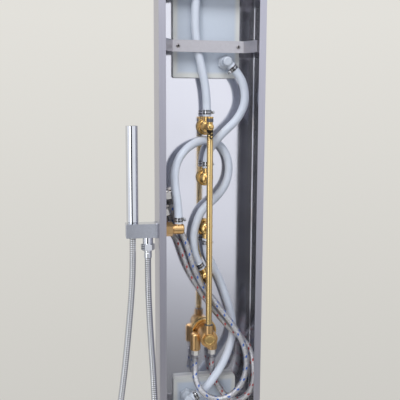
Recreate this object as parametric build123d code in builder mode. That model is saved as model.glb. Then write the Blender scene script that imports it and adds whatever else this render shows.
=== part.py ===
"""Mixer shower column: a folded steel tray with its valves, hoses and jets behind it.

Millimetres. X runs along the column's width, Y runs from the wall into the room and Z is up.
The rim that meets the wall lies on Y = 0, the column is symmetric about X = 0, and the origin is
the middle of the upper wall bracket's two holes.
"""
import math
import os

from build123d import *

# Folded tray
PANEL_WIDTH = 200
PANEL_DEPTH = 80
PANEL_TOP = 70
PANEL_BOTTOM = -1250
SHEET = 1.2
RIM = 13
BEND_RADIUS = 2.4
FLOOR = PANEL_DEPTH - SHEET
SIDE = PANEL_WIDTH / 2 - SHEET
OUTSIDE = -PANEL_WIDTH / 2

# Wall brackets
BRACKET_HEIGHT = 40
BRACKET_SHEET = 2
BRACKET_END_GAP = 0.2
LOWER_BRACKET_Z = -1200
WALL_HOLE = 6.5
WALL_HOLE_SPACING = 140

# Body jets
JET_WIDTH = 129
JET_HEIGHT = 222
JET_WALL = 2.5
JET_HOUSING_DEPTH = 14
JET_CORNER = 4
JET_CENTRES = {"upper": -195, "lower": -1024}
JET_FACE_MARGIN = 9
JET_FACE_THICKNESS = 2
JET_LIP = 1.5
JET_LIP_DEPTH = 2
JET_OPENING_MARGIN = 14
JET_FIT = 0.4
NOZZLE_COLUMNS = 3
NOZZLE_ROWS = 6
NOZZLE_PITCH = 30
NOZZLE_DIAMETER = 5
NOZZLE_TIP = 3.4
NOZZLE_PROUD = 2
NOZZLE_FIT = 0.3
MAT_THICKNESS = 2
JET_BACK = FLOOR - JET_HOUSING_DEPTH

# Straps that hold the jet housings
STRAP_WIDTH = 22
STRAP_SHEET = 1.5
STRAP_PITCH = 100
STRAP_DROP = 4
STRAP_STANDOFF = 19.3
STRAP_BEND_INSET = 30.4
STRAP_FOOT = 11.5
STRAP_HALF = SIDE - STRAP_BEND_INSET
STRAP_FOOT_X = SIDE - STRAP_FOOT
STRAP_FOOT_RISE = 27
STRAP_SCREW_X = 58
STRAP_SCREW = 4
SCREW_HEAD = 8
SCREW_HEAD_HEIGHT = 1.8
SCREW_SLOT = 2.6
STRAP_BACK = JET_BACK - STRAP_STANDOFF - STRAP_SHEET
STRAP_PLACES = (STRAP_PITCH / 2 - STRAP_DROP, -STRAP_PITCH / 2 - STRAP_DROP)

# Hoses
HOSE_DIAMETER = 16
HOSE_BORE = 10.8
BARB_DIAMETER = 10.6
BARB_LENGTH = 18
BARB_GAP = 0.5
BARB_RUN = 24
LOWER_JET_RUN = 26
SHOULDER_DIAMETER = 15
BRAID_DIAMETER = 12
SHOWER_HOSE_DIAMETER = 13
CLAMP_WIDTH = 9
CLAMP_BAND = 0.8
CLAMP_OFFSET = 8
CLAMP_FIT = 0.05
CLAMP_SCREW_DIAMETER = 6.5
CLAMP_SCREW_LENGTH = 12

# Elbows on the jet housings
ELBOW_DIAMETER = 18
ELBOW_CAP_RADIUS = 2.5
ELBOW_SHANK = 16
ELBOW_SHOULDER = 9.5
ELBOW_NUT_FLATS = 26
ELBOW_NUT_HEIGHT = 7
ELBOW_RISE = 21.8
JET_BARB_Y = JET_BACK - ELBOW_RISE
ELBOW_END = JET_BARB_Y - ELBOW_DIAMETER / 2
JET_ELBOWS = {"upper": (36, -276.5, -45), "lower": (-38, -948, 25)}

# Stop valves and riser
VALVE_TOP_Z = -400
VALVE_SPACING = 100
VALVE_COUNT = 4
VALVE_COLLAR = 33
VALVE_COLLAR_HEIGHT = 6
VALVE_BODY = 24
VALVE_BODY_RISE = 27.8
VALVE_BODY_BACK = FLOOR - VALVE_BODY_RISE
VALVE_CONE = 5
VALVE_STUB = 14
VALVE_BRANCH = 11.4
VALVE_NECK = 22
VALVE_NECK_OUT = 7
VALVE_BARB_RISE = 21.8
VALVE_BARB_Y = FLOOR - VALVE_BARB_RISE
VALVE_SHOULDER = 20
VALVE_BARB_ANGLES = (90, 90, -90, 117)
VALVE_STUB_PAST_RISER = 8
WASHER_HEIGHT = 2
WASHER_DIAMETER = 31
VALVE_NUT = 32
VALVE_NUT_HEIGHT = 4
RISER_Y = 25
RISER_DIAMETER = 12
RISER_WALL = 1
SOLDER_GAP = 0.05
PANEL_HOLE_GAP = 0.3
CARTRIDGE_DIAMETER = 14
CARTRIDGE_RISE = 20.8
CARTRIDGE_BACK = FLOOR - CARTRIDGE_RISE
CARTRIDGE_FLANGE = 17
CARTRIDGE_FLANGE_HEIGHT = 2
SPINDLE_DIAMETER = 7
SPINDLE_RISE = 12.8
SPINDLE_BACK = FLOOR - SPINDLE_RISE
RUNNING_GAP = 0.06
FIT_GAP = 0.05
KNOB_DIAMETER = 42
KNOB_SKIRT_WALL = 2.5
KNOB_SKIRT_GAP = 1.5
KNOB_SKIRT_DEPTH = 8
KNOB_OUT = 16
KNOB_FRONT = PANEL_DEPTH + KNOB_OUT
KNOB_LEVER_WIDTH = 11
KNOB_LEVER_HEIGHT = 10
KNOB_EDGE = 1.5

# Mixer
MIXER_Z = -816
MIXER_BODY = 34
MIXER_REAR = 34.5
MIXER_REAR_Y = 20
MIXER_REAR_HEIGHT = 4
MIXER_GROOVE = 1.2
MIXER_NECK = 37
MIXER_NECK_OUT = 9
MIXER_NECK_RISE = 7
LOCK_RING = 50
LOCK_RING_HEIGHT = 8
LOCK_RING_GRIP = 3
LOCK_RING_BORE = 42
MIXER_WASHER = 48
END_CAP = 23
END_CAP_DEPTH = 6
END_CAP_PROUD = 5.5
END_CAP_EDGE = 0.8
MIXER_BORE = 27
MIXER_BORE_RISE = 36.8
MIXER_BORE_BACK = FLOOR - MIXER_BORE_RISE
MIXER_STEM = 10
MIXER_STEM_RISE = 16.8
MIXER_STEM_BACK = FLOOR - MIXER_STEM_RISE
SOCKET_DIAMETER = 18.5
SOCKET_TOP = 28
SOCKET_DEPTH = 9
INLET_DIAMETER = 21
INLET_RISE = 26.8
INLET_Y = FLOOR - INLET_RISE
INLET_X = {"cold": -22, "hot": 12.5}
INLET_TOP = {"cold": 4, "hot": -2}
INLET_BOTTOM = -32
INLET_DOME = 4
INLET_BRIDGE = 15
ESCUTCHEON = 70
ESCUTCHEON_HEIGHT = 2.5
FRONT_NUT = 46
FRONT_NUT_HEIGHT = 4
MIXER_KNOB = 56
MIXER_KNOB_WALL = 3
MIXER_KNOB_OUT = 40
MIXER_KNOB_FRONT = PANEL_DEPTH + MIXER_KNOB_OUT
MIXER_KNOB_SKIRT = 12
MIXER_KNOB_FLUTES = 16
FLUTE_RADIUS = 2.2
FLUTE_SINK = 0.8
BUTTON_DIAMETER = 9
BUTTON_OUT = 30
BUTTON_Y = PANEL_DEPTH + BUTTON_OUT
BUTTON_DEPTH = 12
BUTTON_PROUD = 3.5
BUTTON_TRAVEL_GAP = 3
BUTTON_EDGE = 1

# Braided inlet hoses
TAIL_FLATS = 14
TAIL_NUT_HEIGHT = 10
TAIL_SLEEVE = 8.4
TAIL_SLEEVE_LENGTH = 8
INLET_NUT_FLATS = 24
INLET_NUT_LENGTH = 14
INLET_NUT_WALL = 3
INLET_THREAD = 18.6
INLET_SEAT = 19.6
INLET_SEAT_DEPTH = 2.8
INLET_FLANGE = 18
INLET_FLANGE_HEIGHT = 2.5
FERRULE_DIAMETER = 13
FERRULE_LENGTH = 15
COLD_NUT_INSET = 22.8
COLD_NUT_RISE = 26.8
COLD_NUT_Z = -531
HOT_NUT_INSET = 16.8
HOT_NUT_RISE = 16.3
HOT_NUT_Z = -566
INLET_NUTS = {
    "cold": ((-SIDE + COLD_NUT_INSET, FLOOR - COLD_NUT_RISE, COLD_NUT_Z), (-0.29, 0, 0.957)),
    "hot": ((-SIDE + HOT_NUT_INSET, FLOOR - HOT_NUT_RISE, HOT_NUT_Z), (-0.25, 0, 0.968)),
}

# Handset, holder and its outlet
HOLDER_Y = 30.5
HOLDER_Z = -595
HOLDER_SIZE = 26.6
HOLDER_REACH = 61
HOLDER_END_X = OUTSIDE - HOLDER_REACH
HOLDER_EDGE = 0.8
FLANGE_SIZE = 28.6
FLANGE_THICKNESS = 5
THREAD_DIAMETER = 20.9
THREAD_IN_BLOCK = 5
LOCK_NUT_FLATS = 27
LOCK_NUT_HEIGHT = 6
OUTLET_HEX_FLATS = 24
OUTLET_THREAD_IN = 8.8
OUTLET_HEX_LENGTH = 19
OUTLET_HEX_X = (-SIDE + OUTLET_THREAD_IN, -SIDE + OUTLET_THREAD_IN + OUTLET_HEX_LENGTH)
OUTLET_BODY = 20
OUTLET_BODY_LENGTH = 22
OUTLET_END_X = OUTLET_HEX_X[1] + OUTLET_BODY_LENGTH
OUTLET_BARB_INSET = 10.5
OUTLET_BARB_X = OUTLET_END_X - OUTLET_BARB_INSET
OUTLET_SHOULDER = 10.5
HANDSET_OUT = 47.7
HANDSET_X = OUTSIDE - HANDSET_OUT
HANDSET_DIAMETER = 23
HANDSET_TOP = -397.5
HANDSET_SEAM = -455
HANDSET_GROOVE = 0.5
HANDSET_EDGE = 0.8
SPRAY_FACE_WIDTH = 14
SPRAY_FACE_LENGTH = 44
SPRAY_FACE_DEPTH = 2
SPRAY_FACE_PROUD = 0.8
CONE_TOP = 22.4
CONE_BOTTOM = 16
CONE_LENGTH = 31
CONE_GAP = 0.3
CONE_NECK = 3
HOSE_SLOT = 15
OUTLET_OUT = 19
OUTLET_X = OUTSIDE - OUTLET_OUT
NIPPLE_DIAMETER = 20.5
NIPPLE_LENGTH = 12.5
NIPPLE_THREAD = 16
NIPPLE_IN_BLOCK = 8
HOSE_NUT_FLATS = 23
HOSE_NUT_LENGTH = 13
FERRULE_NARROW = 15.5
FERRULE_NARROW_LENGTH = 15

# Overhead outlet at the top
OVERHEAD_Z = 25
OVERHEAD_BODY = 22
OVERHEAD_COLLAR = 30
OVERHEAD_COLLAR_HEIGHT = 6
OVERHEAD_BARB_RISE = 23.8
OVERHEAD_BARB_Y = FLOOR - OVERHEAD_BARB_RISE
OVERHEAD_SHOULDER = 17
OVERHEAD_SPIGOT = 18
UNDERCUT = 1.2

VALVE_Z = [VALVE_TOP_Z - VALVE_SPACING * i for i in range(VALVE_COUNT)]
COLLAR_BACK = FLOOR - WASHER_HEIGHT - VALVE_COLLAR_HEIGHT
NECK_END = PANEL_DEPTH + VALVE_NECK_OUT
MIXER_NECK_END = PANEL_DEPTH + MIXER_NECK_OUT
MIXER_NECK_BACK = FLOOR - MIXER_NECK_RISE
END_CAP_BACK = MIXER_REAR_Y - END_CAP_PROUD
LOCK_RING_BACK = FLOOR - WASHER_HEIGHT - LOCK_RING_HEIGHT
BLOCK_X = OUTSIDE - FLANGE_THICKNESS
BLOCK_TOP = HOLDER_Z + HOLDER_SIZE / 2
BLOCK_BOTTOM = HOLDER_Z - HOLDER_SIZE / 2
CONE_END = BLOCK_TOP + CONE_NECK - CONE_LENGTH
NUT_TOP = BLOCK_BOTTOM - NIPPLE_LENGTH
NUT_BOTTOM = NUT_TOP - HOSE_NUT_LENGTH
FERRULE_END = NUT_BOTTOM - FERRULE_NARROW_LENGTH
INLET_END = MIXER_Z + INLET_BOTTOM
TAIL_END = INLET_END - TAIL_NUT_HEIGHT - TAIL_SLEEVE_LENGTH

os.makedirs("parts", exist_ok=True)


def save(piece, label):
    """Labels a finished piece and writes its file."""
    piece.part.label = label
    export_step(piece.part, f"parts/{label}.step")


def along(origin, direction):
    """A plane through origin whose local y runs along direction, for profiles of (radius, height)."""
    direction = Vector(direction).normalized()
    side = Vector(1, 0, 0) if abs(direction.Y) > 0.9 else Vector(0, 1, 0)
    return Plane(origin, x_dir=side, z_dir=side.cross(direction))


def across(origin, direction):
    """A plane through origin that faces along direction, for sections that are extruded."""
    direction = Vector(direction).normalized()
    side = Vector(1, 0, 0) if abs(direction.Y) > 0.9 else Vector(0, 1, 0)
    return Plane(origin, x_dir=side, z_dir=direction)


def turn(plane, profile, mode=Mode.ADD):
    """Revolves a closed (radius, height) profile about the plane's local y axis."""
    with BuildSketch(plane) as section:
        with BuildLine():
            Polyline(*profile, close=True)
        make_face()
    revolve(section.sketch, axis=Axis(plane.origin, plane.y_dir), mode=mode)


def rod(origin, direction, diameter, length, mode=Mode.ADD):
    """Adds or cuts a plain round bar from origin along direction."""
    with BuildSketch(across(origin, direction)) as section:
        Circle(diameter / 2)
    extrude(section.sketch, amount=length, mode=mode)


def barb(origin, direction, shoulder):
    """Adds a hose barb: a shoulder that the hose butts against and a spigot inside the hose."""
    neck = SHOULDER_DIAMETER / 2
    spigot = BARB_DIAMETER / 2
    tip = shoulder + BARB_LENGTH
    turn(along(origin, direction), [(0, 0), (neck, 0), (neck, shoulder), (spigot, shoulder),
                                    (spigot, tip - spigot / 3), (spigot * 2 / 3, tip), (0, tip)])


def hex_bar(origin, direction, flats, length):
    """Adds a hexagonal bar, with two flats facing along the plane's local x."""
    with BuildSketch(across(origin, direction)) as section:
        RegularPolygon(radius=flats / 2, side_count=6, major_radius=False, rotation=30)
    extrude(section.sketch, amount=length)


def route_radii(points):
    """The largest arcs that the route's corners take: 0.49 of the shorter run over tan(half turn)."""
    radii = []
    for before, corner, after in zip(points, points[1:], points[2:]):
        first = Vector(corner) - Vector(before)
        second = Vector(after) - Vector(corner)
        half_turn = math.radians(first.get_angle(second)) / 2
        radii.append(0.49 * min(first.length, second.length) / math.tan(half_turn))
    return radii


def hose(points, diameter, bored=False):
    """A hose of straight runs and tangent arcs; a bored one has a blind bore in each end for a barb."""
    radii = route_radii(points)
    bored_ends = ((points[0], points[1]), (points[-1], points[-2])) if bored else ()
    with BuildPart() as tube:
        with BuildLine() as route:
            FilletPolyline(*points, radius=radii)
        with BuildSketch(across(points[0], Vector(points[1]) - Vector(points[0]))):
            Circle(diameter / 2)
        sweep()
        for end, inner in bored_ends:
            rod(end, Vector(inner) - Vector(end), HOSE_BORE, BARB_LENGTH + BARB_GAP, Mode.SUBTRACT)
    section = math.pi * diameter ** 2 / 4
    length = sum(edge.length for edge in route.edges())
    bores = len(bored_ends) * math.pi * HOSE_BORE ** 2 / 4 * (BARB_LENGTH + BARB_GAP)
    share = (tube.part.volume + bores) / (section * length)
    print(f"hose {diameter} mm, {length:.0f} mm long, tightest {min(radii):.0f} mm, volume share {share:.4f}")
    return tube


def polar(angle):
    """The direction at an angle in the X-Z plane, from +X towards +Z."""
    return Vector(math.cos(math.radians(angle)), 0, math.sin(math.radians(angle)))


# The tray: one folded sheet, open to the wall, with a rim turned in all round
front = Plane((0, PANEL_DEPTH, 0), x_dir=(-1, 0, 0), z_dir=(0, 1, 0))
panel_height = PANEL_TOP - PANEL_BOTTOM
panel_middle = (PANEL_TOP + PANEL_BOTTOM) / 2
back_sheet = Plane((0, 0, panel_middle), x_dir=(-1, 0, 0), z_dir=(0, 1, 0))
jet_opening = (JET_WIDTH - 2 * JET_OPENING_MARGIN, JET_HEIGHT - 2 * JET_OPENING_MARGIN)

with BuildPart() as panel_tray:
    with BuildSketch(back_sheet):
        Rectangle(PANEL_WIDTH, panel_height)
    extrude(amount=PANEL_DEPTH)
    fillet(panel_tray.faces().sort_by(Axis.Y)[-1].edges(), BEND_RADIUS)
    offset(amount=-SHEET, openings=panel_tray.faces().sort_by(Axis.Y)[0])
    with BuildSketch(back_sheet):
        Rectangle(PANEL_WIDTH, panel_height)
        Rectangle(PANEL_WIDTH - 2 * RIM, panel_height - 2 * RIM, mode=Mode.SUBTRACT)
    extrude(amount=SHEET)
    with BuildSketch(front):
        with Locations(*[(0, z) for z in VALVE_Z]):
            Circle(VALVE_NECK / 2 + PANEL_HOLE_GAP)
        with Locations((0, MIXER_Z)):
            Circle(MIXER_NECK / 2 + PANEL_HOLE_GAP)
        with Locations((0, OVERHEAD_Z)):
            Circle(THREAD_DIAMETER / 2 + PANEL_HOLE_GAP)
        with Locations(*[(0, z) for z in JET_CENTRES.values()]):
            RectangleRounded(*jet_opening, JET_CORNER)
    extrude(amount=-2 * SHEET, mode=Mode.SUBTRACT)
    rod((OUTSIDE - SHEET, HOLDER_Y, HOLDER_Z), (1, 0, 0), THREAD_DIAMETER + 2 * PANEL_HOLE_GAP,
        3 * SHEET, Mode.SUBTRACT)
save(panel_tray, "panel_tray")


def wall_bracket(z):
    """A shallow hat-shaped bar behind the rim, with its middle level with the wall."""
    end = SIDE - BRACKET_END_GAP
    shoulder = PANEL_WIDTH / 2 - RIM - SHEET
    step = 2 * SHEET
    with BuildPart() as bracket:
        with BuildSketch(Plane.XY.offset(z - BRACKET_HEIGHT / 2)):
            with BuildLine():
                Polyline((0, 0), (shoulder - step, 0), (shoulder, SHEET), (end, SHEET),
                         (end, SHEET + BRACKET_SHEET), (shoulder - step / 2, SHEET + BRACKET_SHEET),
                         (shoulder - step * 1.5, BRACKET_SHEET), (0, BRACKET_SHEET), close=True)
            make_face()
            mirror(about=Plane.YZ)
        extrude(amount=BRACKET_HEIGHT)
        with Locations((-WALL_HOLE_SPACING / 2, 0, z), (WALL_HOLE_SPACING / 2, 0, z)):
            Cylinder(WALL_HOLE / 2, 4 * BRACKET_SHEET, rotation=(90, 0, 0), mode=Mode.SUBTRACT)
    return bracket


save(wall_bracket(0), "upper_wall_bracket")
save(wall_bracket(LOWER_BRACKET_Z), "lower_wall_bracket")


def jet_housing(z, elbow):
    """A shallow moulded box whose open side is closed by the tray's front sheet."""
    back = Plane((0, JET_BACK, z), x_dir=(-1, 0, 0), z_dir=(0, 1, 0))
    with BuildPart() as housing:
        with BuildSketch(back):
            RectangleRounded(JET_WIDTH, JET_HEIGHT, JET_CORNER)
        extrude(amount=JET_HOUSING_DEPTH)
        with BuildSketch(back.offset(JET_WALL)):
            RectangleRounded(JET_WIDTH - 2 * JET_WALL, JET_HEIGHT - 2 * JET_WALL, JET_CORNER - JET_WALL)
        extrude(amount=JET_HOUSING_DEPTH, mode=Mode.SUBTRACT)
        rod((elbow[0], JET_BACK - 1, elbow[1]), (0, 1, 0), ELBOW_SHANK + 2 * FIT_GAP, 2 + JET_WALL,
            Mode.SUBTRACT)
    return housing


def nozzle_places(z):
    """A plane on the tray's front with the grid of nozzle places around a jet's middle."""
    return Plane((0, PANEL_DEPTH, z), x_dir=(-1, 0, 0), z_dir=(0, 1, 0))


def jet_face(z):
    """A polished plate on the front, with a lip through the tray's opening and nozzle holes."""
    outside = nozzle_places(z)
    lip = [size - 2 * JET_FIT for size in jet_opening]
    with BuildPart() as face:
        with BuildSketch(outside):
            RectangleRounded(JET_WIDTH - 2 * JET_FACE_MARGIN, JET_HEIGHT - 2 * JET_FACE_MARGIN, JET_CORNER)
        extrude(amount=JET_FACE_THICKNESS)
        with BuildSketch(outside):
            RectangleRounded(*lip, JET_CORNER - JET_FIT)
            RectangleRounded(lip[0] - 2 * JET_LIP, lip[1] - 2 * JET_LIP, JET_CORNER - JET_FIT - JET_LIP,
                             mode=Mode.SUBTRACT)
        extrude(amount=-JET_LIP_DEPTH)
        with BuildSketch(outside):
            with GridLocations(NOZZLE_PITCH, NOZZLE_PITCH, NOZZLE_COLUMNS, NOZZLE_ROWS):
                Circle(NOZZLE_DIAMETER / 2 + NOZZLE_FIT)
        extrude(amount=JET_FACE_THICKNESS, mode=Mode.SUBTRACT)
    return face


def nozzle_mat(z):
    """A silicone mat behind the plate, with a soft nozzle through each hole."""
    outside = nozzle_places(z)
    margin = 2 * (JET_FIT + JET_LIP + JET_FIT)
    tip = JET_FACE_THICKNESS + NOZZLE_PROUD
    with BuildPart() as mat:
        with BuildSketch(outside):
            RectangleRounded(jet_opening[0] - margin, jet_opening[1] - margin, JET_CORNER)
        extrude(amount=-MAT_THICKNESS)
        with BuildSketch(outside):
            with GridLocations(NOZZLE_PITCH, NOZZLE_PITCH, NOZZLE_COLUMNS, NOZZLE_ROWS):
                Circle(NOZZLE_DIAMETER / 2)
        extrude(amount=tip, taper=math.degrees(math.atan2((NOZZLE_DIAMETER - NOZZLE_TIP) / 2, tip)))
    return mat


def straps(z):
    """Two strips over a jet housing, bent down to the tray's sides."""
    foot = STRAP_BACK - STRAP_FOOT_RISE
    with BuildPart() as pair:
        for place in (z + STRAP_PLACES[0], z + STRAP_PLACES[1]):
            with BuildSketch(Plane.XY.offset(place - STRAP_WIDTH / 2)):
                with BuildLine():
                    Polyline((0, STRAP_BACK), (STRAP_HALF, STRAP_BACK), (STRAP_FOOT_X, foot), (SIDE, foot),
                             (SIDE, foot + STRAP_SHEET), (STRAP_FOOT_X + STRAP_SHEET / 2, foot + STRAP_SHEET),
                             (STRAP_HALF + STRAP_SHEET / 2, STRAP_BACK + STRAP_SHEET),
                             (0, STRAP_BACK + STRAP_SHEET), close=True)
                make_face()
                mirror(about=Plane.YZ)
            extrude(amount=STRAP_WIDTH)
            for x in (-STRAP_SCREW_X, STRAP_SCREW_X):
                rod((x, STRAP_BACK - 1, place), (0, 1, 0), STRAP_SCREW + 2 * FIT_GAP, STRAP_SHEET + 2,
                    Mode.SUBTRACT)
    return pair


def jet_elbow(place):
    """A moulded elbow: a shank through the housing, a round body and a hose barb at an angle."""
    x, z, angle = place
    shank = ELBOW_SHANK / 2
    body = ELBOW_DIAMETER / 2
    end = ELBOW_END
    nut_back = JET_BACK - ELBOW_NUT_HEIGHT
    with BuildPart() as elbow:
        turn(along((x, 0, z), (0, 1, 0)),
             [(0, end), (body - ELBOW_CAP_RADIUS, end), (body, end + ELBOW_CAP_RADIUS), (body, nut_back),
              (shank, nut_back), (shank, JET_BACK + JET_WALL), (0, JET_BACK + JET_WALL)])
        barb((x, JET_BARB_Y, z), polar(angle), ELBOW_SHOULDER)
    return elbow


for side, z in JET_CENTRES.items():
    save(jet_housing(z, JET_ELBOWS[side]), f"{side}_jet_housing")
    save(jet_face(z), f"{side}_jet_face")
    save(nozzle_mat(z), f"{side}_nozzle_mat")
    save(straps(z), f"{side}_straps")
    save(jet_elbow(JET_ELBOWS[side]), f"{side}_jet_elbow")

with BuildPart() as jet_elbow_nuts:
    for x, z, angle in JET_ELBOWS.values():
        hex_bar((x, JET_BACK - ELBOW_NUT_HEIGHT, z), (0, 1, 0), ELBOW_NUT_FLATS, ELBOW_NUT_HEIGHT)
        rod((x, JET_BACK - ELBOW_NUT_HEIGHT, z), (0, 1, 0), ELBOW_SHANK + 2 * FIT_GAP, ELBOW_NUT_HEIGHT,
            Mode.SUBTRACT)
save(jet_elbow_nuts, "jet_elbow_nuts")

with BuildPart() as strap_screws:
    head_back = STRAP_BACK - SCREW_HEAD_HEIGHT
    for centre in JET_CENTRES.values():
        for z in (centre + STRAP_PLACES[0], centre + STRAP_PLACES[1]):
            for x in (-STRAP_SCREW_X, STRAP_SCREW_X):
                turn(along((x, 0, z), (0, 1, 0)),
                     [(0, head_back), (SCREW_SLOT / 2, head_back + SCREW_HEAD_HEIGHT / 2),
                      (SCREW_SLOT / 2, head_back), (SCREW_HEAD / 2 - 1, head_back),
                      (SCREW_HEAD / 2, STRAP_BACK), (STRAP_SCREW / 2, STRAP_BACK),
                      (STRAP_SCREW / 2, JET_BACK), (0, JET_BACK)])
save(strap_screws, "strap_screws")


def stop_valve_body(index):
    """A brass stop valve: collar and threaded neck at the tray, stub at the riser, one hose barb."""
    z = VALVE_Z[index]
    at_top = index == 0
    body = VALVE_BODY / 2
    stub = VALVE_STUB / 2 if at_top else VALVE_BRANCH / 2
    stub_end = RISER_Y - VALVE_STUB_PAST_RISER if at_top else RISER_Y
    collar_front = COLLAR_BACK + VALVE_COLLAR_HEIGHT
    with BuildPart() as valve:
        turn(along((0, 0, z), (0, 1, 0)),
             [(0, stub_end), (stub, stub_end), (stub, VALVE_BODY_BACK - VALVE_CONE), (body, VALVE_BODY_BACK),
              (body, COLLAR_BACK), (VALVE_COLLAR / 2, COLLAR_BACK), (VALVE_COLLAR / 2, collar_front),
              (VALVE_NECK / 2, collar_front), (VALVE_NECK / 2, NECK_END), (0, NECK_END)])
        barb((0, VALVE_BARB_Y, z), polar(VALVE_BARB_ANGLES[index]), VALVE_SHOULDER)
        riser_top = z if at_top else z + VALVE_STUB
        rod((0, RISER_Y, riser_top), (0, 0, -1), RISER_DIAMETER + 2 * SOLDER_GAP, 2 * VALVE_STUB,
            Mode.SUBTRACT)
        rod((0, CARTRIDGE_BACK - FIT_GAP, z), (0, 1, 0), CARTRIDGE_DIAMETER + 2 * FIT_GAP, PANEL_DEPTH,
            Mode.SUBTRACT)
    return valve


def stop_knob(z):
    """A round knob with a lever bar, a skirt over the valve's nut and its own spindle."""
    outer = KNOB_DIAMETER / 2
    skirt = outer - KNOB_SKIRT_WALL
    spindle = SPINDLE_DIAMETER / 2
    back = PANEL_DEPTH + KNOB_SKIRT_GAP
    hub = back + KNOB_SKIRT_DEPTH
    with BuildPart() as knob:
        turn(along((0, 0, z), (0, 1, 0)),
             [(0, SPINDLE_BACK), (spindle, SPINDLE_BACK), (spindle, hub), (skirt, hub), (skirt, back),
              (outer, back), (outer, KNOB_FRONT - KNOB_EDGE), (outer - KNOB_EDGE, KNOB_FRONT),
              (0, KNOB_FRONT)])
        with BuildSketch(Plane((0, KNOB_FRONT, z), x_dir=(-1, 0, 0), z_dir=(0, 1, 0))):
            SlotOverall(KNOB_DIAMETER - 4 * KNOB_EDGE, KNOB_LEVER_WIDTH, rotation=90)
        extrude(amount=KNOB_LEVER_HEIGHT)
        fillet(knob.faces().sort_by(Axis.Y)[-1].edges(), KNOB_EDGE)
    return knob


for index, z in enumerate(VALVE_Z):
    save(stop_valve_body(index), f"stop_valve_body_{index + 1}")
    save(stop_knob(z), f"stop_knob_{index + 1}")

with BuildPart() as stop_cartridges:
    for z in VALVE_Z:
        core = CARTRIDGE_DIAMETER / 2
        spindle_hole = SPINDLE_DIAMETER / 2 + RUNNING_GAP
        rim = CARTRIDGE_FLANGE / 2
        lid = NECK_END + CARTRIDGE_FLANGE_HEIGHT / 2
        turn(along((0, 0, z), (0, 1, 0)),
             [(0, CARTRIDGE_BACK), (core, CARTRIDGE_BACK), (core, NECK_END), (rim, NECK_END), (rim, lid),
              (spindle_hole, lid), (spindle_hole, SPINDLE_BACK - RUNNING_GAP),
              (0, SPINDLE_BACK - RUNNING_GAP)])
save(stop_cartridges, "stop_cartridges")

with BuildPart() as stop_valve_nuts:
    for z in VALVE_Z:
        turn(along((0, PANEL_DEPTH, z), (0, 1, 0)),
             [(VALVE_NECK / 2 + FIT_GAP, 0), (VALVE_NUT / 2, 0), (VALVE_NUT / 2, VALVE_NUT_HEIGHT),
              (VALVE_NECK / 2 + FIT_GAP, VALVE_NUT_HEIGHT)])
save(stop_valve_nuts, "stop_valve_nuts")

with BuildPart() as panel_washers:
    washer_back = FLOOR - WASHER_HEIGHT
    for z in VALVE_Z:
        turn(along((0, washer_back, z), (0, 1, 0)),
             [(VALVE_NECK / 2 + FIT_GAP, 0), (WASHER_DIAMETER / 2, 0), (WASHER_DIAMETER / 2, WASHER_HEIGHT),
              (VALVE_NECK / 2 + FIT_GAP, WASHER_HEIGHT)])
    turn(along((0, washer_back, MIXER_Z), (0, 1, 0)),
         [(MIXER_NECK / 2 + FIT_GAP, 0), (MIXER_WASHER / 2, 0), (MIXER_WASHER / 2, WASHER_HEIGHT),
          (MIXER_NECK / 2 + FIT_GAP, WASHER_HEIGHT)])
save(panel_washers, "panel_washers")

# The riser runs from the top valve's stub down into the mixer's socket
riser_bottom = MIXER_Z + SOCKET_TOP - SOCKET_DEPTH
with BuildPart() as riser_pipe:
    with BuildSketch(Plane.XY.offset(riser_bottom)):
        with Locations((0, RISER_Y)):
            Circle(RISER_DIAMETER / 2)
            Circle(RISER_DIAMETER / 2 - RISER_WALL, mode=Mode.SUBTRACT)
    extrude(amount=VALVE_TOP_Z - SOLDER_GAP - riser_bottom)
save(riser_pipe, "riser_pipe")

# The mixer: one brass casting with two inlets below and the riser's socket on top
with BuildPart() as mixer_body:
    axis = along((0, 0, MIXER_Z), (0, 1, 0))
    rear = MIXER_REAR_Y + MIXER_REAR_HEIGHT
    body = MIXER_BODY / 2
    turn(axis, [(0, MIXER_REAR_Y), (MIXER_REAR / 2, MIXER_REAR_Y), (MIXER_REAR / 2, rear),
                (body - MIXER_GROOVE, rear + MIXER_GROOVE), (body, rear + 2 * MIXER_GROOVE),
                (body, MIXER_NECK_BACK), (MIXER_NECK / 2, MIXER_NECK_BACK),
                (MIXER_NECK / 2, MIXER_NECK_END), (0, MIXER_NECK_END)])
    for name, x in INLET_X.items():
        height = INLET_TOP[name] - INLET_BOTTOM
        radius = INLET_DIAMETER / 2
        turn(along((x, INLET_Y, INLET_END), (0, 0, 1)),
             [(0, 0), (radius - 1, 0), (radius, 1), (radius, height - INLET_DOME),
              (radius - INLET_DOME, height), (0, height)])
    rod((INLET_X["cold"], INLET_Y, MIXER_Z - INLET_BRIDGE / 2), (1, 0, 0), INLET_BRIDGE, -INLET_X["cold"])
    rod((0, RISER_Y, MIXER_Z), (0, 0, 1), SOCKET_DIAMETER, SOCKET_TOP)
    rod((0, RISER_Y, riser_bottom - SOLDER_GAP), (0, 0, 1), RISER_DIAMETER + 2 * SOLDER_GAP,
        2 * SOCKET_DEPTH, Mode.SUBTRACT)
    rod((0, END_CAP_BACK - 2, MIXER_Z), (0, 1, 0), END_CAP + 2 * FIT_GAP,
        2 + END_CAP_PROUD + END_CAP_DEPTH, Mode.SUBTRACT)
    rod((0, MIXER_BORE_BACK, MIXER_Z), (0, 1, 0), MIXER_BORE + 2 * FIT_GAP, PANEL_DEPTH, Mode.SUBTRACT)
save(mixer_body, "mixer_body")

with BuildPart() as mixer_end_cap:
    rod((0, END_CAP_BACK, MIXER_Z), (0, 1, 0), END_CAP, END_CAP_PROUD + END_CAP_DEPTH)
    chamfer(mixer_end_cap.faces().sort_by(Axis.Y)[0].edges(), END_CAP_EDGE)
save(mixer_end_cap, "mixer_end_cap")

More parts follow.
